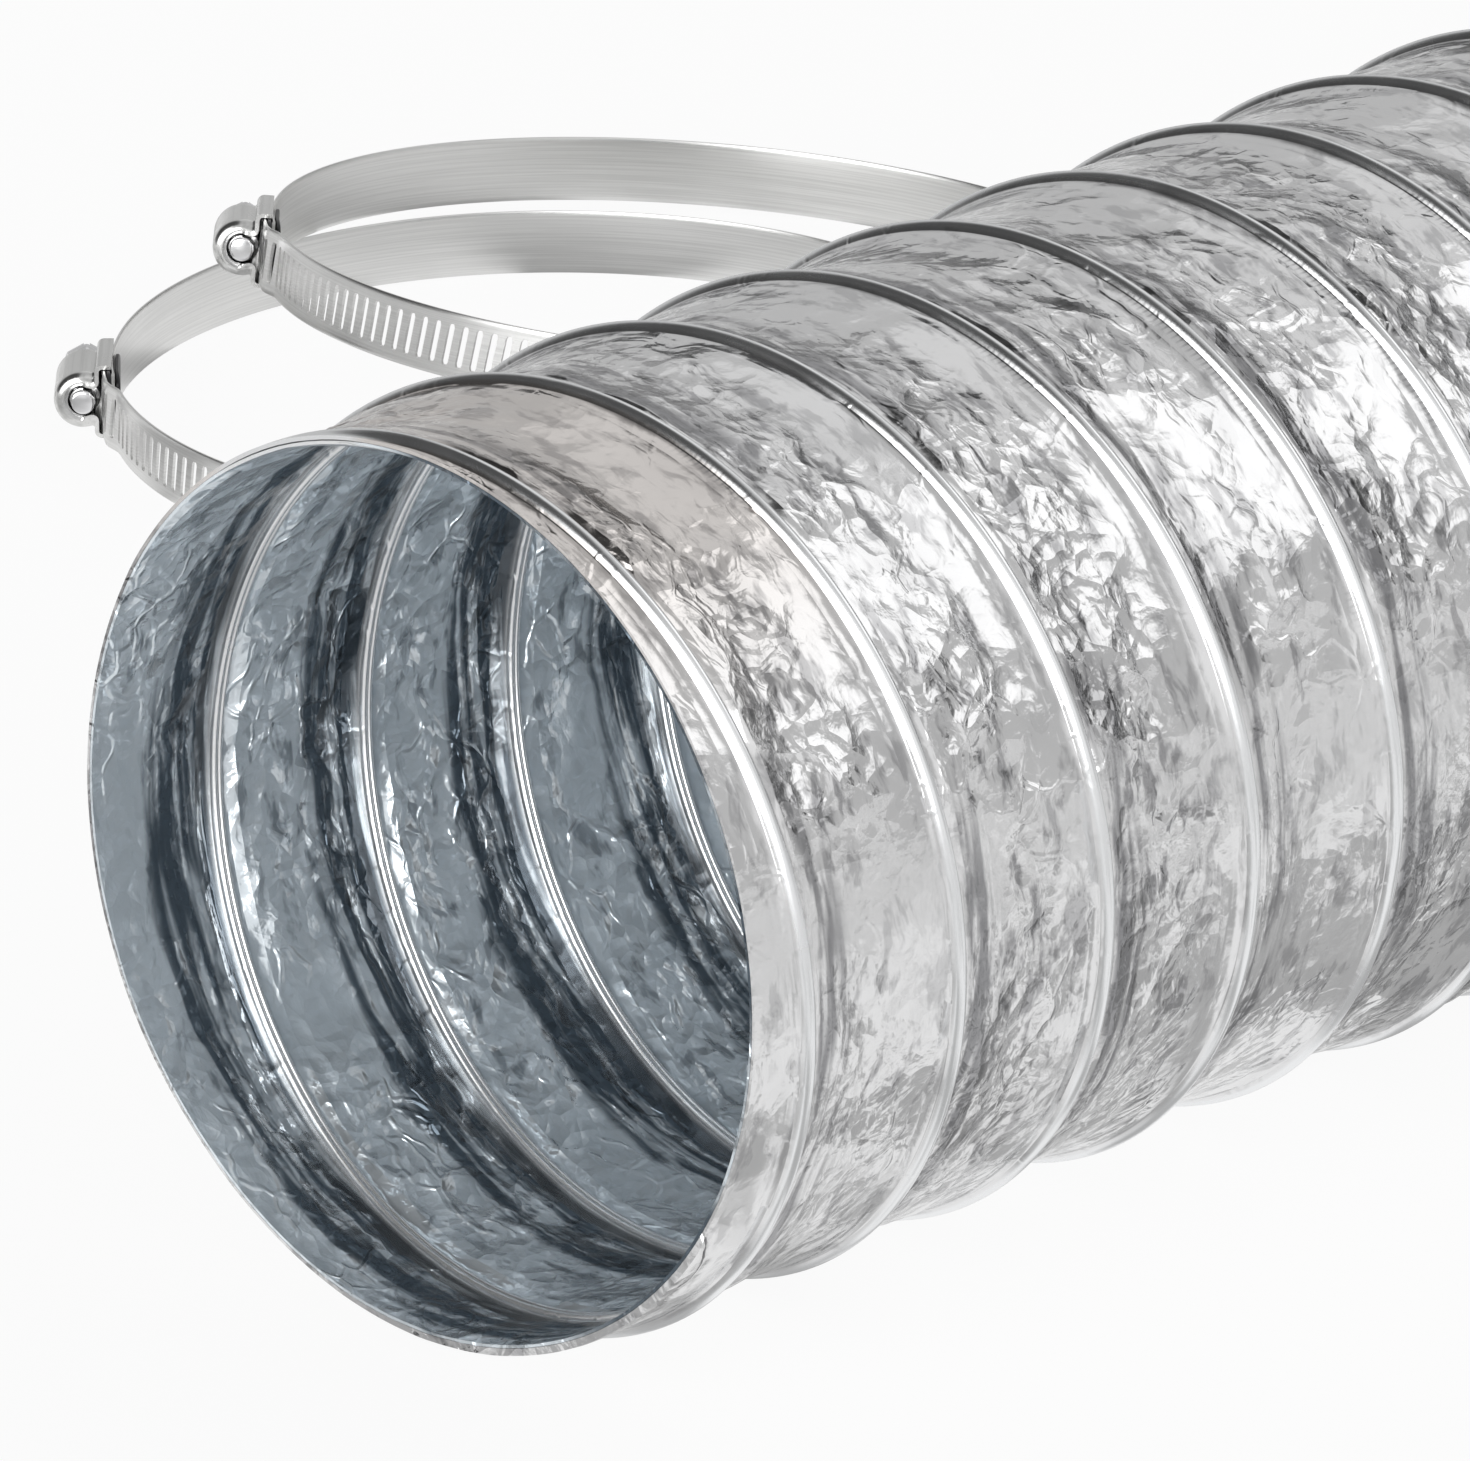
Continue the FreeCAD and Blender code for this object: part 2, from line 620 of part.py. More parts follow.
def place_second():
    """The second ring lies across the first, with its far side down on the floor."""
    shift = Vector(size("stack_x"), size("stack_y"), 0)
    outer = size("band_radius") + size("band_wall")
    top_of_first = size("band_width") + outer * math.sin(tilt_of_first())
    lean = math.asin((top_of_first + size("stack_gap")) / (outer + shift.Length / 2))
    height = size("band_width") / 2 * math.cos(lean) + outer * math.sin(lean)
    turn = Rotation(Vector(0, 0, 1), size("housing_bearing"))
    tilt = Rotation(Vector(-shift.y, shift.x, 0), math.degrees(lean))
    centre = Vector(size("clamp_x"), size("clamp_y"), size("floor_level") + height) + shift
    return Placement(centre, tilt * turn)


def make_clamp(prefix, place):
    band, saddle, housing = make_band(prefix), make_saddle(prefix), make_housing(prefix)
    screw = make_screw(prefix)
    for piece in (band, saddle, housing):
        piece.Placement = place
    along_screw = Placement(Vector(size("screw_axis"), 0, 0), Rotation(Vector(1, 0, 0), 90))
    screw.Placement = place.multiply(along_screw)
    return [band, saddle, housing, screw]


parts = [make_inner_ply(), make_outer_ply(), make_wire()]
parts += make_clamp("clamp_1", place_first())
parts += make_clamp("clamp_2", place_second())

doc.recompute()
for item in doc.Objects:
    if "Invalid" in item.State or "Error" in item.State:
        raise RuntimeError(f"{item.Label} failed: {item.State}")
for part in parts:
    if part.Shape.isNull() or not part.Shape.isValid():
        raise RuntimeError(f"{part.Label} has no valid shape")

os.makedirs("parts", exist_ok=True)
for part in parts:
    part.Shape.exportStep(f"parts/{part.Label}.step")
    box = part.Shape.BoundBox
    print(f"{part.Label}: {len(part.Shape.Solids)} solid, {part.Shape.Volume:.0f} mm3,",
          f"{box.XMin:.1f}..{box.XMax:.1f} {box.YMin:.1f}..{box.YMax:.1f} {box.ZMin:.1f}..{box.ZMax:.1f}")
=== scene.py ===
import json
import math
import bpy
import numpy as np
from mathutils import Matrix, Vector


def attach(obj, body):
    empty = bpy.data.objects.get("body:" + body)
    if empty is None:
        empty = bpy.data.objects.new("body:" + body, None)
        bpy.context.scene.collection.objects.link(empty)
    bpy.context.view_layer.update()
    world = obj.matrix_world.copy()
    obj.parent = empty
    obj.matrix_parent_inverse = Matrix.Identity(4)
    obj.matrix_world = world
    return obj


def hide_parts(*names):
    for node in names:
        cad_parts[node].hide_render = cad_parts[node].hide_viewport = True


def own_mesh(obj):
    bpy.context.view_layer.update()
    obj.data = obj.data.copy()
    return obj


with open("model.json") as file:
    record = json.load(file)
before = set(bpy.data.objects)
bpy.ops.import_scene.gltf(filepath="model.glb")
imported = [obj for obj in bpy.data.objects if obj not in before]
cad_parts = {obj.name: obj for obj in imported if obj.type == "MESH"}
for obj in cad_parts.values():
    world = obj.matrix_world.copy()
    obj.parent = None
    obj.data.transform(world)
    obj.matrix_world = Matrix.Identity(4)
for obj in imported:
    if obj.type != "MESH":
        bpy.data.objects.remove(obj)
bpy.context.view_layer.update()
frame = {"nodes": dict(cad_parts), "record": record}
print("frame loaded:", len(frame["nodes"]), "nodes")

mm = 0.001
fullTurn = 2 * math.pi
joined = np.concatenate
bpy.context.scene.view_settings.view_transform = "Standard"


# A socket of a material: + - * on it add Math nodes, + and - also with a number on the left
class Signal:
    def __init__(self, finish, socket):
        self.finish, self.socket = finish, socket

    def calc(self, operation, *values):
        return self.finish.node("ShaderNodeMath", {"operation": operation}, dict(enumerate(values)))

    def __add__(self, other):
        return self.calc("ADD", self, other)

    __radd__ = __add__

    def __sub__(self, other):
        return self.calc("SUBTRACT", self, other)

    def __rsub__(self, other):
        return self.calc("SUBTRACT", other, self)

    def __mul__(self, other):
        return self.calc("MULTIPLY", self, other)

    def only(self, operation):
        return self.calc(operation, self)

    def between(self, low, high):  # 0 below low, 1 above high, smooth between
        sockets = {"Value": self, "From Min": low, "From Max": high}
        return self.finish.node("ShaderNodeMapRange", {"interpolation_type": "SMOOTHSTEP"}, sockets)


# A node material or world, with the one method that adds a node to it
class Finish:
    def __init__(self, name, owner=None, **shader):
        self.owner = owner or bpy.data.materials.new(name)
        self.owner.use_nodes = True
        self.tree = self.owner.node_tree
        self.shader = self.tree.nodes.get("Principled BSDF")
        for socket, value in shader.items():
            self.shader.inputs[socket.replace("_", " ")].default_value = value

    def node(self, kind, settings, sockets, output=0):
        made = self.tree.nodes.new(kind)
        for name, value in settings.items():
            setattr(made, name, value)
        for name, value in sockets.items():
            if isinstance(value, Signal):
                self.tree.links.new(value.socket, made.inputs[name])
            else:
                made.inputs[name].default_value = value
        return Signal(self, made.outputs[output])

    def feed(self, socket, signal):
        self.tree.links.new(signal.socket, self.shader.inputs[socket])

    def place(self):  # object coordinates, in metres
        return self.node("ShaderNodeTexCoord", {}, {}, "Object")

    def attribute(self, name, output="Fac"):
        return self.node("ShaderNodeAttribute", {"attribute_name": name}, {}, output)

    def vector(self, operation, first, second):
        inlet = "Scale" if operation == "SCALE" else 1
        outlet = "Value" if operation == "DOT_PRODUCT" else 0
        return self.node("ShaderNodeVectorMath", {"operation": operation}, {0: first, inlet: second}, outlet)

    def scaled(self, vector, scale):  # scale: one number, or one for each axis
        return (self.vector("MULTIPLY", vector, scale), 1.0) if isinstance(scale, tuple) else (vector, scale)

    def noise(self, vector, scale, detail=2.0, roughness=0.5, output=0):
        vector, scale = self.scaled(vector, scale)
        sockets = {"Vector": vector, "Scale": scale, "Detail": detail, "Roughness": roughness}
        return self.node("ShaderNodeTexNoise", {}, sockets, output)

    def cells(self, vector, scale, output="Distance", feature="F1"):
        vector, scale = self.scaled(vector, scale)
        return self.node("ShaderNodeTexVoronoi", {"feature": feature}, {"Vector": vector, "Scale": scale}, output)

    def blendColours(self, share, first, second, kind="MIX"):
        sockets = {0: share, 6: first, 7: second}
        return self.node("ShaderNodeMix", {"data_type": "RGBA", "blend_type": kind}, sockets, 2)

    def bump(self, height, distance):
        return self.node("ShaderNodeBump", {}, {"Height": height, "Distance": distance})


# Camera: heading and drop in degrees, and its place in units along its own axes
camera = {
    "heading": 44.30, "drop": 21.03, "lens": 415.98, "farthest": 100,
    "unit": 0.080, "right": 0.655, "up": 0.347, "away": 34.815,
}


def makeCamera():
    heading, drop = math.radians(camera["heading"]), math.radians(camera["drop"])
    level = math.cos(drop)
    forward = Vector((math.cos(heading) * level, math.sin(heading) * level, -math.sin(drop)))
    right = Vector((math.sin(heading), -math.cos(heading), 0))
    up = right.cross(forward)
    spot = camera["unit"] * (camera["right"] * right + camera["up"] * up - camera["away"] * forward)
    data = bpy.data.cameras.new("camera")
    data.lens = camera["lens"]
    data.clip_end = camera["farthest"]
    thing = bpy.data.objects.new("camera", data)
    thing.matrix_world = Matrix.Translation(spot) @ Matrix((right, up, -forward)).transposed().to_4x4()
    bpy.context.collection.objects.link(thing)
    bpy.context.scene.camera = thing


makeCamera()

# Studio: a white floor under the duct, and soft light given by direction
studio = {
    "floorLevel": -80.5, "floorHalf": 9.0,  # in mm, and half its side in metres
    "floorColour": (0.93, 0.93, 0.93, 1), "floorRoughness": 0.9,
    "floorGlow": 0.93, "metalGlow": 0.95,  # share of the floor that glows, as seen directly and in metal
    "floorInMetal": 0.89,  # how bright that glow is in metal
    # painted shade: patches where the floor's glow, as metal mirrors it, is darker
    "glowShadeScale": 21.0, "glowShadeDetail": (2.0, 0.6), "glowShadeRange": (0.45, 0.58), "glowShadeDark": 0.52,  # its dark patches
    "base": 0.52,
    "lobes": [  # direction, cosines where it starts and is full, how much it adds
        ((0.66, -0.37, 0.65), 0.905, 0.978, 0.66),
        ((0.60, 0.30, 0.75), 0.93, 0.985, 0.20),
        ((-0.45, -0.85, 0.10), 0.55, 0.85, 0.32),
        ((-0.50, 0.40, 0.62), 0.50, 0.85, -0.46),
        ((-0.93, -0.30, 0.12), 0.74, 0.93, 2.9),
        ((0.98, 0.0, 0.0), 0.90, 0.985, -0.40),
    ],
}


def makeSky():
    # a base level with lobes about some directions, plain white for the camera
    world = bpy.data.worlds.new("studio")
    bpy.context.scene.world = world
    light = Finish("studio", owner=world)
    direction = light.node("ShaderNodeTexCoord", {}, {}, "Generated")
    level = studio["base"]
    for aim, start, full, amount in studio["lobes"]:
        cosine = light.vector("DOT_PRODUCT", direction, Vector(aim).normalized())
        level = cosine.between(start, full) * amount + level
    seen = light.node("ShaderNodeLightPath", {}, {}, "Is Camera Ray")
    shade = level * (1 - seen) + seen
    light.tree.links.new(shade.socket, light.tree.nodes["Background"].inputs["Color"])


def makeFloor():
    # a share of glow over paint that takes the shadow
    half, height = studio["floorHalf"], studio["floorLevel"] * mm
    mesh = bpy.data.meshes.new("floor")
    corners = [(-half, -half, height), (half, -half, height), (half, half, height), (-half, half, height)]
    mesh.from_pydata(corners, [], [(0, 1, 2, 3)])
    floor = bpy.data.objects.new("floor", mesh)
    bpy.context.collection.objects.link(floor)
    paint = Finish("floorPaint", Base_Color=studio["floorColour"], Roughness=studio["floorRoughness"])
    rays = ("Is Camera Ray", "Is Transmission Ray", "Is Glossy Ray")
    direct, through, mirrored = [paint.node("ShaderNodeLightPath", {}, {}, ray) for ray in rays]
    # painted shade: the glow that metal mirrors is darker in soft patches
    clouds = paint.noise(paint.place(), studio["glowShadeScale"], *studio["glowShadeDetail"])
    glowShadePatches = 1 - clouds.between(*studio["glowShadeRange"]) * studio["glowShadeDark"]
    colour = 1 - mirrored * (1 - glowShadePatches * studio["floorInMetal"])
    glow = paint.node("ShaderNodeEmission", {}, {"Color": colour})
    share = (direct + through) * studio["floorGlow"] + mirrored * studio["metalGlow"]
    own = Signal(paint, paint.shader.outputs[0])
    mixed = paint.node("ShaderNodeMixShader", {}, {0: share, 1: own, 2: glow})
    paint.tree.links.new(mixed.socket, paint.tree.nodes["Material Output"].inputs["Surface"])
    mesh.materials.append(paint.owner)


makeSky()
makeFloor()
print("camera and studio made")


def step(value, low, high):
    # 0 below low, 1 above high, smooth between
    t = np.clip((value - low) / (high - low), 0, 1)
    return t * t * (3 - 2 * t)


def within(value, rise, fall):
    # 1 between two ranges: it grows across the first and falls across the second
    return step(value, *rise) * (1 - step(value, *fall))


def raised(share, least):
    # the share, lifted from 0 to its least; also for sockets
    return share * (1 - least) + least


def ringAngles(count):
    return fullTurn * np.arange(count) / count


def arcHeight(value):
    # height of a half circle over -1 to 1, 0 outside
    return np.sqrt(np.clip(1 - value ** 2, 0, 1))


def meshObject(name, points, faces, attributes=None):
    # points in metres; unused ones are left out
    shape = faces.shape
    used, faces = np.unique(faces, return_inverse=True)
    faces = faces.reshape(shape)
    mesh = bpy.data.meshes.new(name)
    mesh.vertices.add(len(used))
    mesh.vertices.foreach_set("co", points[used].astype(np.float32).ravel())
    mesh.loops.add(faces.size)
    mesh.loops.foreach_set("vertex_index", faces.ravel().astype(np.int32))
    mesh.polygons.add(len(faces))
    mesh.polygons.foreach_set("loop_start", np.arange(0, faces.size, faces.shape[1], dtype=np.int32))
    mesh.update(calc_edges=True)
    mesh.polygons.foreach_set("use_smooth", np.full(len(faces), True))
    for key, values in (attributes or {}).items():
        kind, field = ("FLOAT", "value") if values.ndim == 1 else ("FLOAT_VECTOR", "vector")
        layer = mesh.attributes.new(key, kind, "POINT")
        layer.data.foreach_set(field, values[used].astype(np.float32).ravel())
    mesh.validate()
    thing = bpy.data.objects.new(name, mesh)
    bpy.context.collection.objects.link(thing)
    return thing


def facesBetween(index):
    # four-sided faces between the points of a grid, given by their numbers
    return np.stack([index[:-1, :-1], index[1:, :-1], index[1:, 1:], index[:-1, 1:]], -1)


def gridFaces(shape, closed=False):
    # the same for points in order; rows may close to rings
    index = np.arange(shape[0] * shape[1]).reshape(shape)
    return facesBetween(joined([index, index[:, :1]], axis=1) if closed else index)


def inTriangles(faces):
    return faces if faces.shape[1] == 3 else joined([faces[:, [0, 1, 2]], faces[:, [0, 2, 3]]])


def closedTube(rings, centres):
    # rings of points one after the other joined by triangles, with a fan to a centre at each end
    rows, columns = rings.shape[:2]
    ring, last = np.arange(columns), (rows - 1) * columns
    begin = np.stack([ring, np.roll(ring, -1), np.full(columns, rows * columns)], -1)
    finish = np.stack([np.roll(ring, -1) + last, ring + last, np.full(columns, rows * columns + 1)], -1)
    sides = inTriangles(gridFaces((rows, columns), True).reshape(-1, 4))
    return joined([rings.reshape(-1, 3), centres]), joined([sides, begin, finish])


detailed = (3.0, 0.6)  # detail and roughness of the finishes' mottled and drawn noises

# Duct: foil stretched over a spring wire, wound right-handed from the mouth; sizes in mm
duct = {
    "length": 317.7, "pitch": 35.3, "firstCrest": 2.2, "closes": 270.0,  # closes: how much shorter it gets
    "middle": 77.85, "sag": 1.2,  # radius between the plies at the wire, and how much they hang in
    "foldWander": 0.09, "foldCell": (38, 40), "foldSharp": 1.3,  # the crease halfway between two wires
    "halfGap": 0.80, "hiddenGap": 0.05,  # from that radius to the seen skins and to the hidden ones
    "wireRoom": 0.72, "wireRoomHalf": 1.3,  # the hidden skins pass either side of the wire
    "bead": 1.40, "beadHalf": 1.5, "beadPower": 0.7,  # wire bead: height outside, half width, how round it is
    "ridge": 1.20, "ridgeHalf": 0.62, "ridgeApart": 0.56,  # the two cords that show along the wire inside
    "lap": 0.14, "lapHalf": 3.7, "lapSoft": 0.15,  # the foil strip is doubled this far each side of the wire
    "rimGap": (0.70, 0, 5.0),  # the plies close up toward a cut end: share left there, and over which depth
    "rimPinch": (0.12, 0, 2.6),  # so do the bead and the cords
    "rimCalm": (0.12, 0.5, 9.0),  # and the crumples
    "columns": 274, "spareTurns": 2, "sharp": 58,
    "outsideRows": ([0, 0.42, 0.8, 1.08, 1.3, 1.44, 1.6, 3.4, 3.9], 5.0, 16),  # beside a wire, then evenly between
    "insideRows": ([0, 0.12, 0.3, 0.56, 0.8, 1.0, 1.13, 1.2, 2.6], 5.0, 16),
    "hiddenRows": ([0, 0.55, 0.95, 1.5], 5.5, 5),
}
hem = {  # the end strip folded back: where it starts and thins out, in degrees from the top
    "from": 122, "fade": (165, 210), "curve": 9, "soft": 1.5,
    "height": 0.75, "reach": 3.4, "edgeSoft": 0.3,
    "groove": 0.5, "grooveAt": 0.7, "grooveHalf": 0.7,
}
crease = {  # layers of flat facets: cell round the duct, cell along it, height, turned by this much, seed
    "plate": (30, 22, 0.80, 0.2, 8), "large": (13, 10, 0.66, 0.0, 4),
    "middle": (6.0, 5.0, 0.44, 0.4, 5), "small": (3.2, 2.8, 0.16, 0.9, 6), "streak": (34, 3.4, 0.44, 0.0, 7),
    "radius": 80, "tableRows": 64,  # where the cells have their size, and how many rows differ
    "warpCell": (17, 15), "warp": 6.0, "streakWarp": 0.25, "shift": 40,  # wandering of the creases
    "insideTurn": 2.1, "insideMore": 1.5,  # the inner ply's small crumples are others, and higher
    "fineMost": 0.52,  # no small crumple passes the other ply
}
spread = {  # where crumples lie: shares of the way from a wire to the next, and distances from a wire in mm
    "calmLeast": 0.36, "insideLeast": 0.75, "outsideLoss": 0.65,
    "moreInside": (0.45, 0.62), "lessOutside": (0.48, 0.86), "besideWire": (1.8, 4.2), "plateBesideWire": (1.8, 6.0),
    "foldsInside": ((0.52, 0.66), (0.93, 0.97)), "foldsOutside": ((0.04, 0.08), (0.22, 0.38)),
    "shaded": ((0.46, 0.56), (0.985, 1.0)),
    "tickSlope": ((0.7, 1.1), (1.8, 2.3)), "tickFrom": (8, 12), "tickDegrees": ((14, 22), (58, 74)),
    "paintedWarmReflectionDegrees": ((-75, -30), (25, 62)), "paintedWarmReflectionUntil": (36, 39),
}
patches = {  # cell, seed, and the noise where a patch starts and is whole
    "busyOutside": ((30, 24), 3, (-0.50, 0.15)), "busyInside": ((30, 24), 13, (-0.50, 0.15)),
    "folds": ((60, 60), 21, (-0.55, 0.0)), "ticks": ((26, 30), 41, (0.0, 0.2)),
}


def lattice(theta, x, cell, seed):
    # random numbers at a cell's corners, its own two numbers added, and the shares of the way across it
    around = max(3, round(fullTurn * crease["radius"] / cell[0]))
    u, v = theta / fullTurn * around, x / cell[1]
    iu, iv = np.floor(u).astype(int), np.floor(v).astype(int)
    rows = crease["tableRows"]
    table = np.random.default_rng(seed).uniform(-1, 1, (around, rows))
    corners = [table[(iu + i) % around, (iv + j) % rows] for i, j in ((0, 0), (1, 0), (0, 1), (1, 1))]
    return corners, iu + iv, u - iu, v - iv


def softNoise(theta, x, cell, seed):
    # random numbers on a lattice, joined by the smooth curve 3t^2 - 2t^3 each way
    (a, b, c, d), _, fu, fv = lattice(theta, x, cell, seed)
    fu, fv = step(fu, 0, 1), step(fv, 0, 1)
    return (a * (1 - fu) + b * fu) * (1 - fv) + (c * (1 - fu) + d * fu) * fv


def facets(theta, x, layer):
    # random heights on a lattice, joined by flat triangles whose diagonals alternate, so creases are sharp
    cellAround, cellAlong, height, turned, seed = crease[layer]
    (a, b, c, d), number, fu, fv = lattice(theta + turned, x, (cellAround, cellAlong), seed)
    rising = np.where(fu > fv, a + (b - a) * fu + (d - b) * fv, a + (d - c) * fu + (c - a) * fv)
    low, high = a + (b - a) * fu + (c - a) * fv, d + (c - d) * (1 - fu) + (b - d) * (1 - fv)
    falling = np.where(fu + fv < 1, low, high)
    return height * np.where(number % 2 == 0, rising, falling)


def patch(theta, x, which):
    cell, seed, limits = patches[which]
    return step(softNoise(theta, x, cell, seed), *limits)


def turnsAt(theta, x):
    # turns of the wire between the first crest and a place
    return (x - duct["firstCrest"]) / duct["pitch"] - theta / fullTurn


def bayPlace(theta, x):
    # signed distance along the duct to the nearest wire, and the share of the way from a wire to the next
    turns = turnsAt(theta, x)
    return (turns - np.round(turns)) * duct["pitch"], turns - np.floor(turns)


def busyShare(theta, x, inside):
    # how crumpled a place is: in patches, outside most just behind each wire, inside before the next one
    distance, share = bayPlace(theta, x)
    if inside:
        along = raised(step(share, *spread["moreInside"]), spread["insideLeast"])
    else:
        along = 1 - spread["outsideLoss"] * step(share, *spread["lessOutside"])
    patchy = raised(patch(theta, x, "busyInside" if inside else "busyOutside"), spread["calmLeast"])
    return patchy * along * step(np.abs(distance), *spread["besideWire"])


def streakShare(theta, x, inside):
    # where long folds run round the duct: just behind a wire outside, just before one inside
    near = within(bayPlace(theta, x)[1], *spread["foldsInside" if inside else "foldsOutside"])
    return near * patch(theta, x, "folds")


def tickShare(theta, x):
    # in places the roller that folds the strip leaves ticks on the front slope of the wire bead
    near = within(-bayPlace(theta, x)[0], *spread["tickSlope"]) * step(x, *spread["tickFrom"])
    return near * patch(theta, x, "ticks") * within(np.degrees(theta % fullTurn), *spread["tickDegrees"])


def paintedWarmReflectionShare(theta, x):
    # a painted warm reflection on the first bay's top
    degrees = (np.degrees(theta) + 180) % 360 - 180
    across = 1 - step(x - duct["pitch"] * degrees / 360, *spread["paintedWarmReflectionUntil"])
    return across * within(degrees, *spread["paintedWarmReflectionDegrees"])


def crumpling(theta, x, side):
    # height of the crumples: the bonded plies share the large facets, and each side adds small ones and long
    # folds, held within fineMost by a tanh curve
    warpU = softNoise(theta, x, crease["warpCell"], 1) * crease["warp"] / crease["radius"]
    warpV = softNoise(theta, x, crease["warpCell"], 2) * crease["warp"]
    u, v = theta + warpU, x + warpV + crease["shift"]
    away = step(np.abs(bayPlace(theta, x)[0]), *spread["plateBesideWire"])
    height = away * facets(u, v, "plate") + busyShare(theta, x, False) * facets(u, v, "large")
    if side == "bonded":
        return height
    inside = side == "inside"
    if inside:
        u = u + crease["insideTurn"]
    folds = streakShare(theta, x, inside) * facets(u, x + crease["streakWarp"] * warpV, "streak")
    fine = busyShare(theta, x, inside) * (facets(u, v, "middle") + facets(u, v, "small")) + folds
    fine = fine * (crease["insideMore"] if inside else 1)
    return height + crease["fineMost"] * np.tanh(fine / crease["fineMost"])


def nearCut(x, which):
    # a share that grows from its least at a cut end to 1 further in
    least, start, full = duct[which]
    return raised(step(np.minimum(x, duct["length"] - x), start, full), least)


def hemEdge(theta):
    # how far in the folded-back edge reaches at an angle: it starts in a quarter of an ellipse at one place
    degrees = np.degrees(theta % fullTurn)
    start = np.clip((degrees - hem["from"]) / hem["curve"], 0, 1)
    return hem["reach"] * arcHeight(1 - start) * (1 - step(degrees, *hem["fade"]))


def hemHeight(theta, x):
    # the front cut edge folded back on itself, thinning out round the duct, with a groove behind it
    degrees = np.degrees(theta % fullTurn)
    share = within(degrees, (hem["from"] - hem["soft"], hem["from"] + hem["soft"]), hem["fade"])
    inward = x - hemEdge(theta)
    groove = hem["groove"] * np.exp(-(((inward - hem["grooveAt"]) / hem["grooveHalf"]) ** 2))
    return share * (hem["height"] * (1 - step(inward, -hem["edgeSoft"], hem["edgeSoft"])) - groove)


def plyRadius(theta, x, skin):
    # radius of one skin: the sagging middle line, its share of the gap, the bead, the lap and the crumples
    distance, share = bayPlace(theta, x)
    bay = np.floor(turnsAt(theta, x)) * duct["foldCell"][1]
    apex = 0.5 + duct["foldWander"] * softNoise(theta, bay, duct["foldCell"], 31)
    lean = np.where(share < apex, share / apex, (1 - share) / (1 - apex))
    sag = duct["sag"] * (1 - (1 - lean) ** duct["foldSharp"])
    side = "bonded" if skin.endswith("Back") else skin
    radius = duct["middle"] - sag + crumpling(theta, x, side) * nearCut(x, "rimCalm")
    gap, pinch = nearCut(x, "rimGap"), nearCut(x, "rimPinch")
    if skin == "outside":
        bead = duct["bead"] * np.clip(1 - (distance / duct["beadHalf"]) ** 2, 0, 1) ** duct["beadPower"]
        lap = duct["lap"] * (1 - step(np.abs(distance) - duct["lapHalf"], -duct["lapSoft"], duct["lapSoft"]))
        return radius + (duct["halfGap"] + lap) * gap + bead * pinch + hemHeight(theta, x)
    if skin == "inside":
        ridge = duct["ridge"] * arcHeight((np.abs(distance) - duct["ridgeApart"]) / duct["ridgeHalf"])
        return radius - duct["halfGap"] * gap - ridge * pinch
    room = duct["wireRoom"] * arcHeight(distance / duct["wireRoomHalf"])
    return radius + (duct["hiddenGap"] * gap + room * pinch) * (1 if skin == "outsideBack" else -1)


def stripGrid(columns, rows):
    # a strip one turn wide, wound along the duct: each point's angle and place, triangles, and both rims
    near, clear, count = rows
    pitch, spare = duct["pitch"], duct["spareTurns"]
    offsets = [*near, *np.linspace(clear, pitch - clear, count), *(pitch - row for row in reversed(near[1:]))]
    turns = math.ceil(duct["length"] / pitch) + 2 * spare
    i = np.arange(columns * turns)
    start = duct["firstCrest"] + pitch * (i / columns - spare)
    x = start[:, None] + np.array(offsets)
    column = np.broadcast_to((i % columns)[:, None], x.shape)
    theta = fullTurn * column / columns
    count = x.size
    # every point past a cut end becomes the rim's point of its column
    name = np.arange(count).reshape(x.shape)
    name = np.where(x <= 0, count + column, np.where(x >= duct["length"], count + columns + column, name))
    wide = joined([name[:-columns], name[columns:, :1]], axis=1)
    faces = inTriangles(facesBetween(wide).reshape(-1, 4))
    apart = (faces[:, 0] != faces[:, 1]) & (faces[:, 1] != faces[:, 2]) & (faces[:, 2] != faces[:, 0])
    faces = faces[apart & ~(faces >= count).all(axis=1)]
    rim = ringAngles(columns)
    theta = joined([theta.ravel(), rim, rim])
    x = joined([x.ravel(), np.zeros(columns), np.full(columns, duct["length"])])
    return theta, x, faces, (count + np.arange(columns), count + columns + np.arange(columns))


def onDuct(theta, x, radius):
    # angle from the top, clockwise looking into the mouth
    return np.stack([x, -radius * np.sin(theta), radius * np.cos(theta)], axis=-1) * mm


def rimRing(seen, hidden):
    # triangles from a loop to one with half as many points
    f0, f1, f2 = seen[0::2], seen[1::2], np.roll(seen[0::2], -1)
    c0, c1 = hidden, np.roll(hidden, -1)
    return joined([np.stack(t, -1) for t in ((f0, f1, c0), (f1, c1, c0), (f1, f2, c1))])


def plyMarks(theta, x, inside):
    # what the finish has to know about each point
    distance, share = bayPlace(theta, x)
    return {
        "bead": np.clip(1 - (distance / duct["beadHalf"]) ** 2, 0, 1),
        "busy": busyShare(theta, x, inside),
        "folds": streakShare(theta, x, inside),
        "along": x,
        "wound": np.round(turnsAt(theta, x)) + theta / fullTurn,
        # painted shade inside, over the far half of each bay
        "shaded": within(share, *spread["shaded"]) * inside,
        "ticks": tickShare(theta, x) * (not inside),
        "hemEdge": hemEdge(theta) * (not inside),
        "paintedWarmReflection": paintedWarmReflectionShare(theta, x) * (not inside),
    }


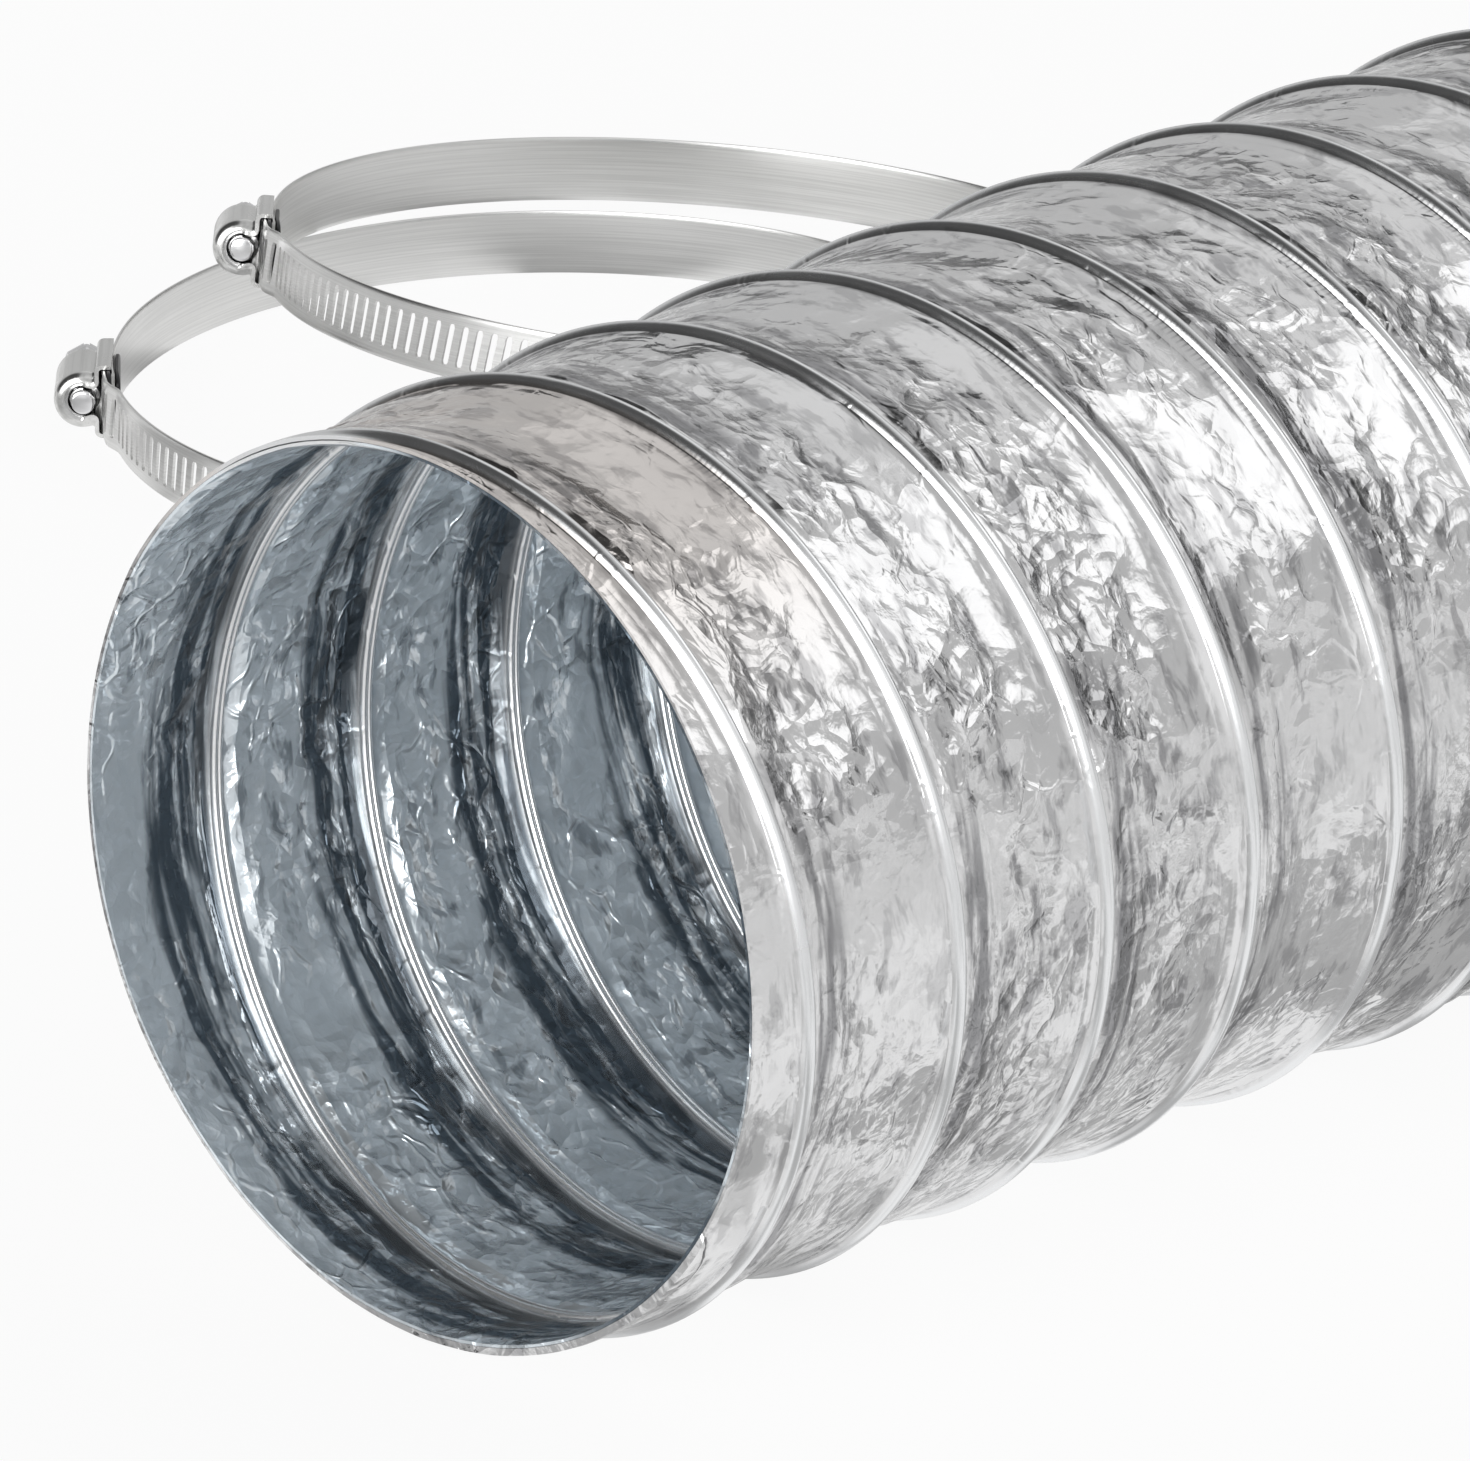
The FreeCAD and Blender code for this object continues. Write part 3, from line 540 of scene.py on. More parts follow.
def makePly(name, skin, nodeName, body):
    # a closed shell: the seen skin, a coarser hidden one, and a ring at each cut end
    theta, x, faces, rims = stripGrid(duct["columns"], duct[skin + "Rows"])
    backTheta, backX, backFaces, backRims = stripGrid(duct["columns"] // 2, duct["hiddenRows"])
    points = joined([
        onDuct(theta, x, plyRadius(theta, x, skin)),
        onDuct(backTheta, backX, plyRadius(backTheta, backX, skin + "Back")),
    ])
    shift = len(x)
    front, rear = (rimRing(seen, hidden + shift) for seen, hidden in zip(rims, backRims))
    shell = [faces, (backFaces + shift)[:, ::-1], front[:, ::-1], rear]
    if skin == "inside":
        shell = [part[:, ::-1] for part in shell]
    marks = plyMarks(joined([theta, backTheta]), joined([x, backX]), skin == "inside")
    ply = meshObject(name, points, joined(shell), marks)
    ply.data.set_sharp_from_angle(angle=math.radians(duct["sharp"]))
    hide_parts(nodeName)
    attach(ply, body)
    squashed(ply)
    print(name, "triangles", sum(len(part) for part in shell))
    return ply


def squashed(piece):
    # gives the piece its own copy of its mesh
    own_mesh(piece)


outerPly = makePly("outerFoil", "outside", "outer_foil_ply", "duct_front")
innerPly = makePly("innerFoil", "inside", "inner_foil_ply", "duct_rear")

foil = {  # scales per metre, heights in mm, ranges of noises, and how much darker each thing makes the foil
    # the bead's light colour: a film over the wire, and partly a painted highlight along it
    "beadFilmAndHighlightColour": (0.96, 0.97, 0.98, 1), "grooveShadowColour": (0.06, 0.06, 0.07, 1), "paintedWarmReflectionColour": (0.93, 0.885, 0.85, 1),
    "warpScale": 90, "warp": 0.005, "wideWarp": 1.6,  # wandering of the facets, and of the creases
    "plateScale": 95, "plateHeight": 1.3, "facetScale": 240, "facetHeight": 0.55,
    "crinkleScale": 520, "crinkleHeight": 0.16, "crinkleCalm": 0.12,
    "streakScale": (330, 26, 26), "streakHeight": 0.55, "streakRange": (0.40, 0.60), "foldShadeDark": 0.75,
    "creaseScale": (150, 105, 105), "creaseWidth": 0.09, "creaseHeight": 0.30,
    "patchScale": 62.0, "patchRange": (0.50, 0.58), "paintedReflectionScale": (170, 110, 110), "calmLeast": 0.3,
    "mottleScale": 38.0, "mottleRange": (0.35, 0.6), "mottleLeast": 0.85, "roughRange": (0.35, 0.7), "rougher": 0.08,
    "paintedShadeScale": (260, 95, 95), "paintedShadeRange": (0.50, 0.64), "paintedShadeLeast": 0.45, "paintedShadeDark": 0.62,
    "shadedRange": (0.38, 0.60), "shadedDark": 0.36, "shadedStreaks": 0.52, "darkShade": 0.05,
    "knurls": 420, "tickRange": (0.1, 0.7), "tickDark": 0.5,  # ticks round one turn of the wire
    "foldedRange": (0.3, 0.8), "grooveAt": 0.15, "grooveRange": (0.10, 0.50), "grooveShadowDark": 0.85,
    "hemRange": (-0.25, 0.15), "hemHeight": 0.5, "grooveDepth": 0.2,
    "filmRange": (0.05, 0.5), "filmLoss": 0.5, "filmOnBead": 0.25,  # a film of plastic takes some of the shine
}
outerSide = {
    "colour": (0.88, 0.88, 0.885, 1), "dark": (0.30, 0.30, 0.31, 1), "roughness": 0.13, "filmed": 0.0,
    "lively": 1.35, "creases": 0.35, "paintedReflectionTone": 0.24, "full": 0.96,  # full: shade at which the bright colour is whole
}
innerSide = {
    "colour": (0.87, 0.94, 0.99, 1), "dark": (0.11, 0.14, 0.17, 1), "roughness": 0.12, "filmed": 0.6,
    "lively": 2.4, "creases": 0.55, "paintedReflectionTone": 0.55, "full": 0.60,
}


def foilFinish(name, side):
    # bright foil: random cells' cones in two sizes for facets, creases, a fine crinkle, long folds round the duct
    made = Finish(name, Metallic=1.0)
    place = made.place()
    busy, bead, folds = map(made.attribute, ("busy", "bead", "folds"))
    soft = raised(busy, foil["calmLeast"])

    wander = made.vector("SUBTRACT", made.noise(place, foil["warpScale"], output="Color"), (0.5, 0.5, 0.5))
    wander = made.vector("SCALE", wander, foil["warp"])
    warped = made.vector("ADD", place, wander)
    wide = made.vector("ADD", place, made.vector("SCALE", wander, foil["wideWarp"]))

    plates, small = made.cells(warped, foil["plateScale"]), made.cells(warped, foil["facetScale"])
    edges = made.cells(wide, foil["creaseScale"], feature="DISTANCE_TO_EDGE")
    some = made.noise(place, foil["patchScale"], 1.0).between(*foil["patchRange"])
    fold = (1 - edges.between(0.0, foil["creaseWidth"])) * some
    # painted reflection: each facet cell gets its own darkness, standing for facets that mirror different
    # surroundings
    paintedReflectionTone = made.vector("DOT_PRODUCT", made.cells(wide, foil["paintedReflectionScale"], "Color"), (1, 0, 0))
    crinkle, streak = made.noise(warped, foil["crinkleScale"]), made.noise(place, foil["streakScale"])
    # large soft patches, a little darker in colour and rougher
    mottle = made.noise(place, foil["mottleScale"], *detailed)
    marksAndPaintedShade = made.noise(warped, foil["paintedShadeScale"], *detailed)

    # painted shade: the long folds round the duct are darkened in colour
    shade = 1 - streak.between(*foil["streakRange"]) * folds * foil["foldShadeDark"]
    shade = shade * raised(mottle.between(*foil["mottleRange"]), foil["mottleLeast"])
    # painted shade: grey marks darken the colour, more where the foil is crumpled
    paintedShadeMarks = marksAndPaintedShade.between(*foil["paintedShadeRange"]) * raised(busy, foil["paintedShadeLeast"])
    shade = shade * (1 - paintedShadeMarks * foil["paintedShadeDark"])
    # painted shade: inside, the colour darkens over the half of each bay before the next wire; the painted shade then
    # blends the dark colour into the bright one
    streaky = foil["shadedDark"] + streak.between(*foil["shadedRange"]) * foil["shadedStreaks"]
    shade = shade * (1 - made.attribute("shaded") * streaky) * (1 - paintedReflectionTone * side["paintedReflectionTone"] * soft)
    colour = made.blendColours(shade.between(foil["darkShade"], side["full"]), side["dark"], side["colour"])
    # painted reflection: the first bay's top is tinted warm
    colour = made.blendColours(made.attribute("paintedWarmReflection"), colour, foil["paintedWarmReflectionColour"], "MULTIPLY")

    tick = (made.attribute("wound") * (fullTurn * foil["knurls"])).only("SINE")
    tick = tick.between(*foil["tickRange"]) * made.attribute("ticks") * foil["tickDark"]
    colour = made.blendColours(tick, colour, side["dark"])
    edge = made.attribute("hemEdge")
    inward, folded = made.attribute("along") - edge, edge.between(*foil["foldedRange"])
    groove = (1 - (inward - foil["grooveAt"]).only("ABSOLUTE").between(*foil["grooveRange"])) * folded
    # painted shadow: the groove behind the folded edge is darkened in colour, beside its bump
    colour = made.blendColours(groove * foil["grooveShadowDark"], colour, foil["grooveShadowColour"])
    filmAndHighlight = bead.between(*foil["filmRange"])
    # the bead is lighter in colour: a film over the wire, and partly a painted highlight along it
    made.feed("Base Color", made.blendColours(filmAndHighlight * (1 - tick), colour, foil["beadFilmAndHighlightColour"]))
    made.feed("Metallic", 1 - (foil["filmLoss"] - filmAndHighlight * foil["filmOnBead"]) * side["filmed"])
    rough = mottle.between(*foil["roughRange"]) * foil["rougher"] + filmAndHighlight * foil["rougher"]
    made.feed("Roughness", side["roughness"] + rough)

    height = (plates * foil["plateHeight"] + small * foil["facetHeight"]) * busy
    height = height + fold * soft * foil["creaseHeight"] * side["creases"]
    height = height + crinkle * (busy + foil["crinkleCalm"]) * foil["crinkleHeight"]
    height = (height + streak * folds * foil["streakHeight"]) * (1 - bead)
    height = height + (1 - inward.between(*foil["hemRange"])) * folded * foil["hemHeight"]
    made.feed("Normal", made.bump(height - groove * foil["grooveDepth"], mm * side["lively"]))
    return made.owner


outerPly.data.materials.append(foilFinish("outerFoilFinish", outerSide))
innerPly.data.materials.append(foilFinish("innerFoilFinish", innerSide))

# Spring wire: a round wire between the plies, its tips standing just inside the cut ends; sizes in mm
wire = {"radius": 0.65, "helixRadius": 77.85, "startX": 1.6, "sides": 10, "perTurn": 72}


def makeWire():
    # circles across the helix, in the frame of its tangent and the duct's axis
    tips = np.array([wire["startX"], duct["length"] - wire["startX"]])
    tipAngles = (tips - duct["firstCrest"]) / duct["pitch"] * fullTurn
    theta = np.linspace(*tipAngles, int((tipAngles[1] - tipAngles[0]) / fullTurn * wire["perTurn"]))
    path = onDuct(theta, duct["firstCrest"] + duct["pitch"] * theta / fullTurn, wire["helixRadius"]) / mm
    tangent = np.gradient(path, axis=0)
    tangent /= np.linalg.norm(tangent, axis=1, keepdims=True)
    side = np.cross(tangent, np.array([1.0, 0, 0]))
    side /= np.linalg.norm(side, axis=1, keepdims=True)
    up = np.cross(side, tangent)
    angle = ringAngles(wire["sides"])[:, None]
    circle = np.cos(angle) * side[:, None] + np.sin(angle) * up[:, None]
    points, faces = closedTube(path[:, None] + circle * wire["radius"], path[[0, -1]])
    piece = meshObject("springWire", points * mm, faces)
    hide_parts("spring_wire_helix")
    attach(piece, "duct_front")
    squashed(piece)
    return piece


springWire = makeWire()
print("duct made")

# Clamps: band shells with slanted slots; their place comes from the record's mounts and joints
clamps = ("clamp_1", "clamp_2")
band = {  # in mm, and angles in degrees from the housing
    "radius": 85.0, "wall": 0.6, "width": 12.7, "edgeRound": 0.14, "edgeRows": (0.25, 0.9),
    "tailLift": 1.7, "tailEnd": -4.9, "seat": 9.0, "jog": 13.0,
    "jogColumns": [4.0, 6.06, 8.1, 10.2, 12.3, 14.43], "plainFrom": 0.8, "plainEnd": 6.0, "plainColumns": 170,
    "slots": 47, "slotFirst": 11.22, "slotStep": 3.2, "slotHalf": 4.1, "slotHalfWidth": 0.75, "slant": 8.0,
    "slotRow": 3.5, "slotEndShare": 0.62,  # the slots narrow to this share at their ends
    "tailSlots": 7, "tailSlotFirst": -3.21, "tailSlotStep": 2.061,
    "closes": 20.0, "neutral": 85.9, "sharp": 35,  # neutral: the radius that goes along with the housing
}
record = frame["record"]
jointOf = {joint["name"]: joint for joint in record["behaviour"]["joints"]}
mountOf = {mount["name"]: mount for mount in record["mounts"]}


def clampPlace(name):
    # x toward the housing, y along the screw, z along the ring's axis
    x = -Vector(jointOf[name + "_closing"]["axis"])
    y = Vector(jointOf[name + "_screw_turn"]["axis"])
    centre = Vector(mountOf[name + "_ring"]["pos_m"])
    return Matrix.Translation(centre) @ Matrix((x, y, x.cross(y))).transposed().to_4x4()


def setIn(place, points):
    # from a clamp's own frame, in mm, to the scene
    return points.reshape(-1, 3) * mm @ np.array(place.to_3x3()).T + np.array(place.translation)


def shellFrom(front, back, faces):
    # a closed shell: the faces on the front, the same turned over on the back, walls along open edges
    count = len(front)
    edges = joined([faces[:, [k, (k + 1) % 4]] for k in range(4)])
    _, inverse, times = np.unique(np.sort(edges, axis=1), axis=0, return_inverse=True, return_counts=True)
    openEdges = edges[times[inverse.ravel()] == 1]
    walls = np.stack([openEdges[:, 1], openEdges[:, 0], openEdges[:, 0] + count, openEdges[:, 1] + count], -1)
    return joined([front, back]), joined([faces, faces[:, ::-1] + count, walls])


def bandGrid():
    # angle and height of the strip's points, and its faces without the slots: columns lean along a slot's sides
    half, slotHalf, outerRadius = band["width"] / 2, band["slotHalf"], band["radius"] + band["wall"]
    rows = np.array([half, *(half - inset for inset in band["edgeRows"]), slotHalf, band["slotRow"]])
    z = joined([-rows, [0], rows[::-1]])
    slotStep, halfWidth = band["slotStep"] / outerRadius, band["slotHalfWidth"] / outerRadius
    tail = np.radians(band["tailSlotFirst"] + band["tailSlotStep"] * np.arange(band["tailSlots"]))
    centres = joined([tail, math.radians(band["slotFirst"]) + slotStep * np.arange(band["slots"])])
    start, stop = math.radians(band["tailEnd"]), fullTurn + math.radians(band["plainEnd"])
    plain = np.linspace(centres[-1] + slotStep * band["plainFrom"], stop, band["plainColumns"])
    jog = np.radians(band["jogColumns"])
    angle = np.sort(joined([[start], jog, plain, centres - halfWidth, centres + halfWidth]))
    nearest = centres[np.argmin(np.abs(angle[:, None] - centres), axis=1)]
    opens = np.isclose(angle, nearest - halfWidth)
    slotted = opens | np.isclose(angle, nearest + halfWidth)
    lean = math.tan(math.radians(band["slant"])) / outerRadius * np.clip(z, -slotHalf, slotHalf)
    narrow = np.where(np.isclose(np.abs(z), slotHalf), band["slotEndShare"], 1.0)
    inSlot = nearest[:, None] + (angle - nearest)[:, None] * narrow + lean
    grid = np.where(slotted[:, None], inSlot, angle[:, None])
    acrossSlot = np.abs(z[:-1] + z[1:]) / 2 < slotHalf
    solid = ~(opens[:-1, None] & acrossSlot)
    return grid, np.broadcast_to(z, grid.shape), gridFaces(grid.shape)[solid]


def makeBand(name):
    place = clampPlace(name)
    grid, z, faces = bandGrid()
    # radius of the strip's middle: the slotted tail rides outside, then steps down to the ring
    jog = step(grid, math.radians(band["seat"]), math.radians(band["jog"]))
    middle = band["radius"] + band["wall"] / 2 + band["tailLift"] * (1 - jog)
    bevel = np.where(np.abs(z) == band["width"] / 2, band["edgeRound"], 0)
    skins = []
    for side in (1, -1):
        radius = middle + side * (band["wall"] / 2 - bevel)
        skins.append(setIn(place, np.stack([radius * np.cos(grid), radius * np.sin(grid), z], -1)))
    lay = np.stack([grid * band["radius"], z, 0 * z], -1).reshape(-1, 3) * mm
    piece = meshObject(name + "Band", *shellFrom(*skins, faces), {"lay": joined([lay, lay])})
    piece.data.set_sharp_from_angle(angle=math.radians(band["sharp"]))
    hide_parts(name + "_band")
    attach(piece, name + "_ring")
    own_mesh(piece)
    return piece


bands = [makeBand(name) for name in clamps]
print("clamp bands made")


def outward(points, faces):
    # a closed shell whose signed volume is negative is turned round
    corners = points[faces]
    volume = np.einsum("ij,ij->", corners[:, 0], np.cross(corners[:, 1], corners[:, 2]))
    return faces if volume > 0 else faces[:, ::-1]


def clampPiece(clamp, node, body, shells, sharp):
    # closed shells in the clamp's own frame, joined into one piece and set in its place
    points, faces, count = [], [], 0
    for shellPoints, shellFaces in shells:
        points.append(shellPoints)
        faces.append(outward(shellPoints, inTriangles(shellFaces)) + count)
        count += len(shellPoints)
    local = joined(points)
    spots = setIn(clampPlace(clamp), local)
    piece = meshObject(clamp + node.capitalize(), spots, joined(faces), {"lay": local * mm})
    piece.data.set_sharp_from_angle(angle=math.radians(sharp))
    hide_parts(clamp + "_" + node)
    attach(piece, clamp + "_" + body)
    return piece


# Housing: a sheet pressed into a barrel over the screw, its ends turned in, a bean-shaped window near the tip end
housing = {  # x from the ring's centre, to the middle of the sheet, in mm
    "screwAxis": 90.6, "length": 15.5, "halfWall": 0.4,
    "foot": 85.2, "roof": 88.0, "side": 6.9, "barrel": 5.2, "corner": 1.0, "neck": 0.9, "shoulder": 1.3,
    "mouth": 3.35, "mouthRound": 0.05,  # the hole round the screw in both ends
    "sideInsets": (0.25, 0.4),  # where the side walls' first rows lie
    "barrelRows": (2.6, 1.5, 0.0, -1.5, -3.0, -4.6), "onBarrel": (-0.2, 0.15),
    "windowAt": 4.6, "windowHalf": 0.85, "windowReach": 2.75, "windowBend": 0.3, "windowPress": 0.32,
    "windowEnd": 0.05, "windowRim": 0.4,  # half width at the bean's tips, and how far round it the sheet bends in
    "footPoints": 4, "cornerPoints": 5, "neckPoints": 7, "arcPoints": 41,
    "shoulderFrom": 15, "shoulderRows": 6, "windowCut": 0.97, "sharp": 40,
}


def housingSection(radius, offset):
    # half of the section, foot to barrel: straight side, rounded corner, neck, then the arc about the screw
    axis, roof, side = housing["screwAxis"], housing["roof"], housing["side"]
    corner, neck = housing["corner"], housing["neck"]
    footX = np.linspace(housing["foot"], roof - corner, housing["footPoints"])
    turn = np.radians(np.linspace(0, 90, housing["cornerPoints"] + 1))[1:]
    across = math.sqrt((radius + neck) ** 2 - (axis - roof - neck) ** 2)
    reach = math.atan2(across, roof + neck - axis)
    bend = np.linspace(0, reach, housing["neckPoints"])
    outer, inner = corner + offset, neck - offset
    x = joined([footX, roof - corner + outer * np.sin(turn), roof + neck - inner * np.cos(bend)])
    foot = np.full(len(footX), side + offset)
    z = joined([foot, side - corner + outer * np.cos(turn), across - inner * np.sin(bend)])
    arc = np.linspace(reach, -reach, housing["arcPoints"])[1:-1]
    flat = np.full(len(x), math.pi)
    angle = joined([flat, arc, flat])
    x = joined([x, axis + (radius + offset) * np.cos(arc), x[::-1]])
    z = joined([z, (radius + offset) * np.sin(arc), -z[::-1]])
    return x, z, angle


def housingSkin(offset):
    # rows along the screw: end wall and shoulder, window, barrel, then shoulder and end wall again
    barrel, shoulder = housing["barrel"], housing["shoulder"]
    half, wall = housing["length"] / 2, housing["halfWall"]
    centre, hub = half - wall - shoulder, barrel - shoulder
    first, second = housing["sideInsets"]
    # each row: place on the barrel, radius there, place on the side walls
    end = [(half - wall + offset, housing["mouth"], half)]
    end += [(half - wall + offset, hub - housing["mouthRound"], half - first)]
    for share in np.linspace(0, 1, housing["shoulderRows"]):
        turn = math.radians(housing["shoulderFrom"] + (90 - housing["shoulderFrom"]) * share)
        radius = hub + (shoulder + offset) * math.sin(turn) - offset
        sideY = half - second - share * (half - second - centre)
        end.append((centre + (shoulder + offset) * math.cos(turn), radius, sideY))
    window = [(housing["windowAt"], barrel, housing["windowAt"])] * 4
    middle = [(y, barrel, y) for y in housing["barrelRows"]]
    rows = end + window + middle + [(-y, radius, -sideY) for y, radius, sideY in reversed(end)]
    grid = []
    for number, (y, radius, sideY) in enumerate(rows):
        x, z, angle = housingSection(radius, offset)
        along = sideY + (y - sideY) * step(np.cos(angle), *housing["onBarrel"])
        line = number - len(end)
        if 0 <= line < len(window):
            # the window's two edges, with a rim line outside each
            atEdge = line in (1, 2)
            opening = arcHeight(angle * (barrel + offset) / housing["windowReach"])
            width = housing["windowEnd"] + (housing["windowHalf"] - housing["windowEnd"]) * opening
            width = width + (0 if atEdge else housing["windowRim"])
            along = y + (width if line < 2 else -width) - housing["windowBend"] * opening
            press = housing["windowPress"] * opening * atEdge
            x, z = x - press * np.cos(angle), z - press * np.sin(angle)
        grid.append(np.stack([x, along, z], -1))
    return np.array(grid), angle, len(end) + 1


def housingShell():
    outer, angle, windowRow = housingSkin(housing["halfWall"])
    inner = housingSkin(-housing["halfWall"])[0]
    faces = gridFaces(outer.shape[:2])
    across = np.abs((angle[:-1] + angle[1:]) / 2) * housing["barrel"]
    solid = np.ones(faces.shape[:2], bool)
    solid[windowRow, across < housing["windowReach"] * housing["windowCut"]] = False
    return shellFrom(outer.reshape(-1, 3), inner.reshape(-1, 3), faces[solid])


# Saddle: the plate between the ring and the slotted tail, folded under the ring past the housing; its near-black
# colour is a painted dark reflection
saddle = {  # inner radius, wall, from and to in degrees, half width, in mm
    "plates": [(85.75, 0.8, -5.078, 8.018, 6.35), (84.05, 0.7, -3.5, 7.4, 6.1)],
    "endHalf": 3.7, "taper": 2.6, "edgeRound": 0.14, "endColumns": 8, "columns": 12,
    "across": (-1, -0.97, -0.85, -0.4, 0, 0.4, 0.85, 0.97, 1), "sharp": 40,
}


def curvedPlate(inner, wall, start, stop, half):
    # a plate bent about the ring's axis: its half width falls to the end's along a quarter of an ellipse
    taper, endHalf = saddle["taper"], saddle["endHalf"]
    quarter = np.radians(np.linspace(0, 90, saddle["endColumns"]))
    middle = np.linspace(start + taper, stop - taper, saddle["columns"])[1:-1]
    degrees = [start + taper * (1 - np.cos(quarter)), middle, stop - taper * (1 - np.sin(quarter))]
    angle = np.radians(joined(degrees))
    ends = np.degrees(np.minimum(angle - angle[0], angle[-1] - angle)) / taper
    width = endHalf + (half - endHalf) * arcHeight(1 - np.clip(ends, 0, 1))
    across = np.array(saddle["across"])
    z = width[:, None] * across
    bevel = np.where(np.abs(across) == 1, saddle["edgeRound"], 0) + 0 * z
    bevel[[0, -1]] = saddle["edgeRound"]
    skins = []
    for radius in (inner + wall - bevel, inner + bevel):
        skin = [radius * np.cos(angle)[:, None], radius * np.sin(angle)[:, None], z]
        skins.append(np.stack(skin, -1).reshape(-1, 3))
    return shellFrom(*skins, gridFaces(z.shape).reshape(-1, 4))


# Screw: a worm, a collar and a slotted hexagon head about the screw's axis, the head toward -y
screw = {
    "core": 2.5, "thread": 3.25, "pitch": 3.2, "phase": 0.27, "crest": 0.35, "root": 0.80, "threadHalf": 6.3,
    "threadSoft": 0.25, "threadFrom": -7.6, "threadRows": 100, "columns": 40,
    "tip": 8.95, "tipCore": 2.2, "tipFrom": (6.9, 7.2),
    "threadTo": 0.4, "tipRows": [(0.2, 0.97), (0.05, 0.88), (0, 0.78)],  # short of the tip, share of the radius
    "collar": 4.7, "collarFrom": -8.05, "collarTo": -9.15, "collarFoot": 0.02,
    "collarRows": [(0, 0.94), (0.03, 0.965), (0.2, 1)],  # from either face of the collar, the same
    "flats": 8.0, "cornerReach": 4.48, "headColumns": 72, "arcPoints": 31,
    "slotHalf": 0.6, "slotFloor": -12.35, "slotCorner": 1.42, "slotShares": (0.66, 0.33, 0, -0.33, -0.66),
    "headEnd": -14.15, "headOverlap": 0.05, "headFoot": (0.25, 0.965),
    "dome": [(0.85, 1), (0.5, 0.985), (0.2, 0.945), (0.05, 0.88), (0, 0.80)],  # short of the end, and the share
    "sharp": 32,
}


def wormShell():
    # a core with a helical tooth, low near the tip, and a collar at the head's end
    core, tipCore = screw["core"], screw["tipCore"]
    insets, collarShares = np.array(screw["collarRows"]).T
    tipInsets, tipShares = np.array(screw["tipRows"]).T
    thread = np.linspace(screw["threadFrom"], screw["tip"] - screw["threadTo"], screw["threadRows"])
    y = joined([
        screw["collarTo"] + insets, screw["collarFrom"] - insets[::-1],
        [screw["collarFrom"] + screw["collarFoot"]], thread, screw["tip"] - tipInsets,
    ])
    angle = ringAngles(screw["columns"])
    part = (y[:, None] / screw["pitch"] - angle / fullTurn + screw["phase"] + 0.5) % 1.0
    tooth = 1 - step(np.abs(part - 0.5) * screw["pitch"], screw["crest"], screw["root"])
    whole = step(screw["threadHalf"] - np.abs(y), -screw["threadSoft"], screw["threadSoft"])[:, None]
    nearTip = step(y, *screw["tipFrom"])[:, None]
    radius = core + (screw["thread"] - core) * tooth * whole
    radius = radius * (1 - nearTip) + (tipCore + (core - tipCore) * tooth) * nearTip
    radius[-len(tipShares):] *= tipShares[:, None]
    radius[:2 * len(insets)] = screw["collar"] * joined([collarShares, collarShares[::-1]])[:, None]
    axis = housing["screwAxis"]
    angle, along = np.broadcast_to(angle, radius.shape), np.broadcast_to(y[:, None], radius.shape)
    rings = np.stack([axis + radius * np.sin(angle), along, radius * np.cos(angle)], -1)
    return closedTube(rings, [[axis, y[0], 0], [axis, y[-1], 0]])


def hexRadius(angle):
    # distance from the axis to a hexagon's side, cut short at its corners
    inSide = (angle + math.pi / 6) % (math.pi / 3) - math.pi / 6
    return np.minimum(screw["flats"] / 2 / np.cos(inSide), screw["cornerReach"])


def prism(u, v, rows, keepU=0.0):
    # a closed outline carried along the screw, drawn in by a share at each row; a side at u = keepU stays there
    y, shares = np.array(rows).T
    drawnU, drawnV = u * shares[:, None], v * shares[:, None]
    if keepU:
        drawnU = np.sign(keepU) * np.maximum(np.abs(drawnU), abs(keepU))
    rings = np.stack([housing["screwAxis"] + drawnU, np.broadcast_to(y[:, None], drawnU.shape), drawnV], -1)
    return closedTube(rings, rings[[0, -1]].mean(axis=1))


def screwShells():
    # the worm, a hexagon up to the slot's floor, and the head's two halves either side of the slot, domed at the end
    angle = ringAngles(screw["headColumns"])
    radius = hexRadius(angle)
    footInset, footShare = screw["headFoot"]
    foot = [(screw["collarTo"] + screw["collarFoot"], footShare), (screw["collarTo"] - footInset, 1)]
    foot.append((screw["slotFloor"], 1))
    shells = [wormShell(), prism(radius * np.cos(angle), radius * np.sin(angle), foot)]
    domed = [(screw["slotFloor"] + screw["headOverlap"], 1)]
    domed += [(screw["headEnd"] + inset, share) for inset, share in screw["dome"]]
    slotHalf = screw["slotHalf"]
    reach = math.acos(slotHalf / hexRadius(screw["slotCorner"]))
    arc = np.linspace(-reach, reach, screw["arcPoints"])
    arcU, arcV = hexRadius(arc) * np.cos(arc), hexRadius(arc) * np.sin(arc)
    shares = np.array(screw["slotShares"])
    for side in (1, -1):
        u = joined([np.maximum(arcU, slotHalf), np.full(len(shares), slotHalf)]) * side
        v = joined([arcV, arcV[-1] * shares])
        shells.append(prism(u, v, domed, slotHalf * side))
    return shells


clampMetal = [(
    clampPiece(clamp, "housing", "slider", [housingShell()], housing["sharp"]),
    clampPiece(clamp, "saddle", "slider", [curvedPlate(*plate) for plate in saddle["plates"]], saddle["sharp"]),
    clampPiece(clamp, "screw", "worm", screwShells(), screw["sharp"]),
) for clamp in clamps]
print("clamp housings, saddles and screws made")

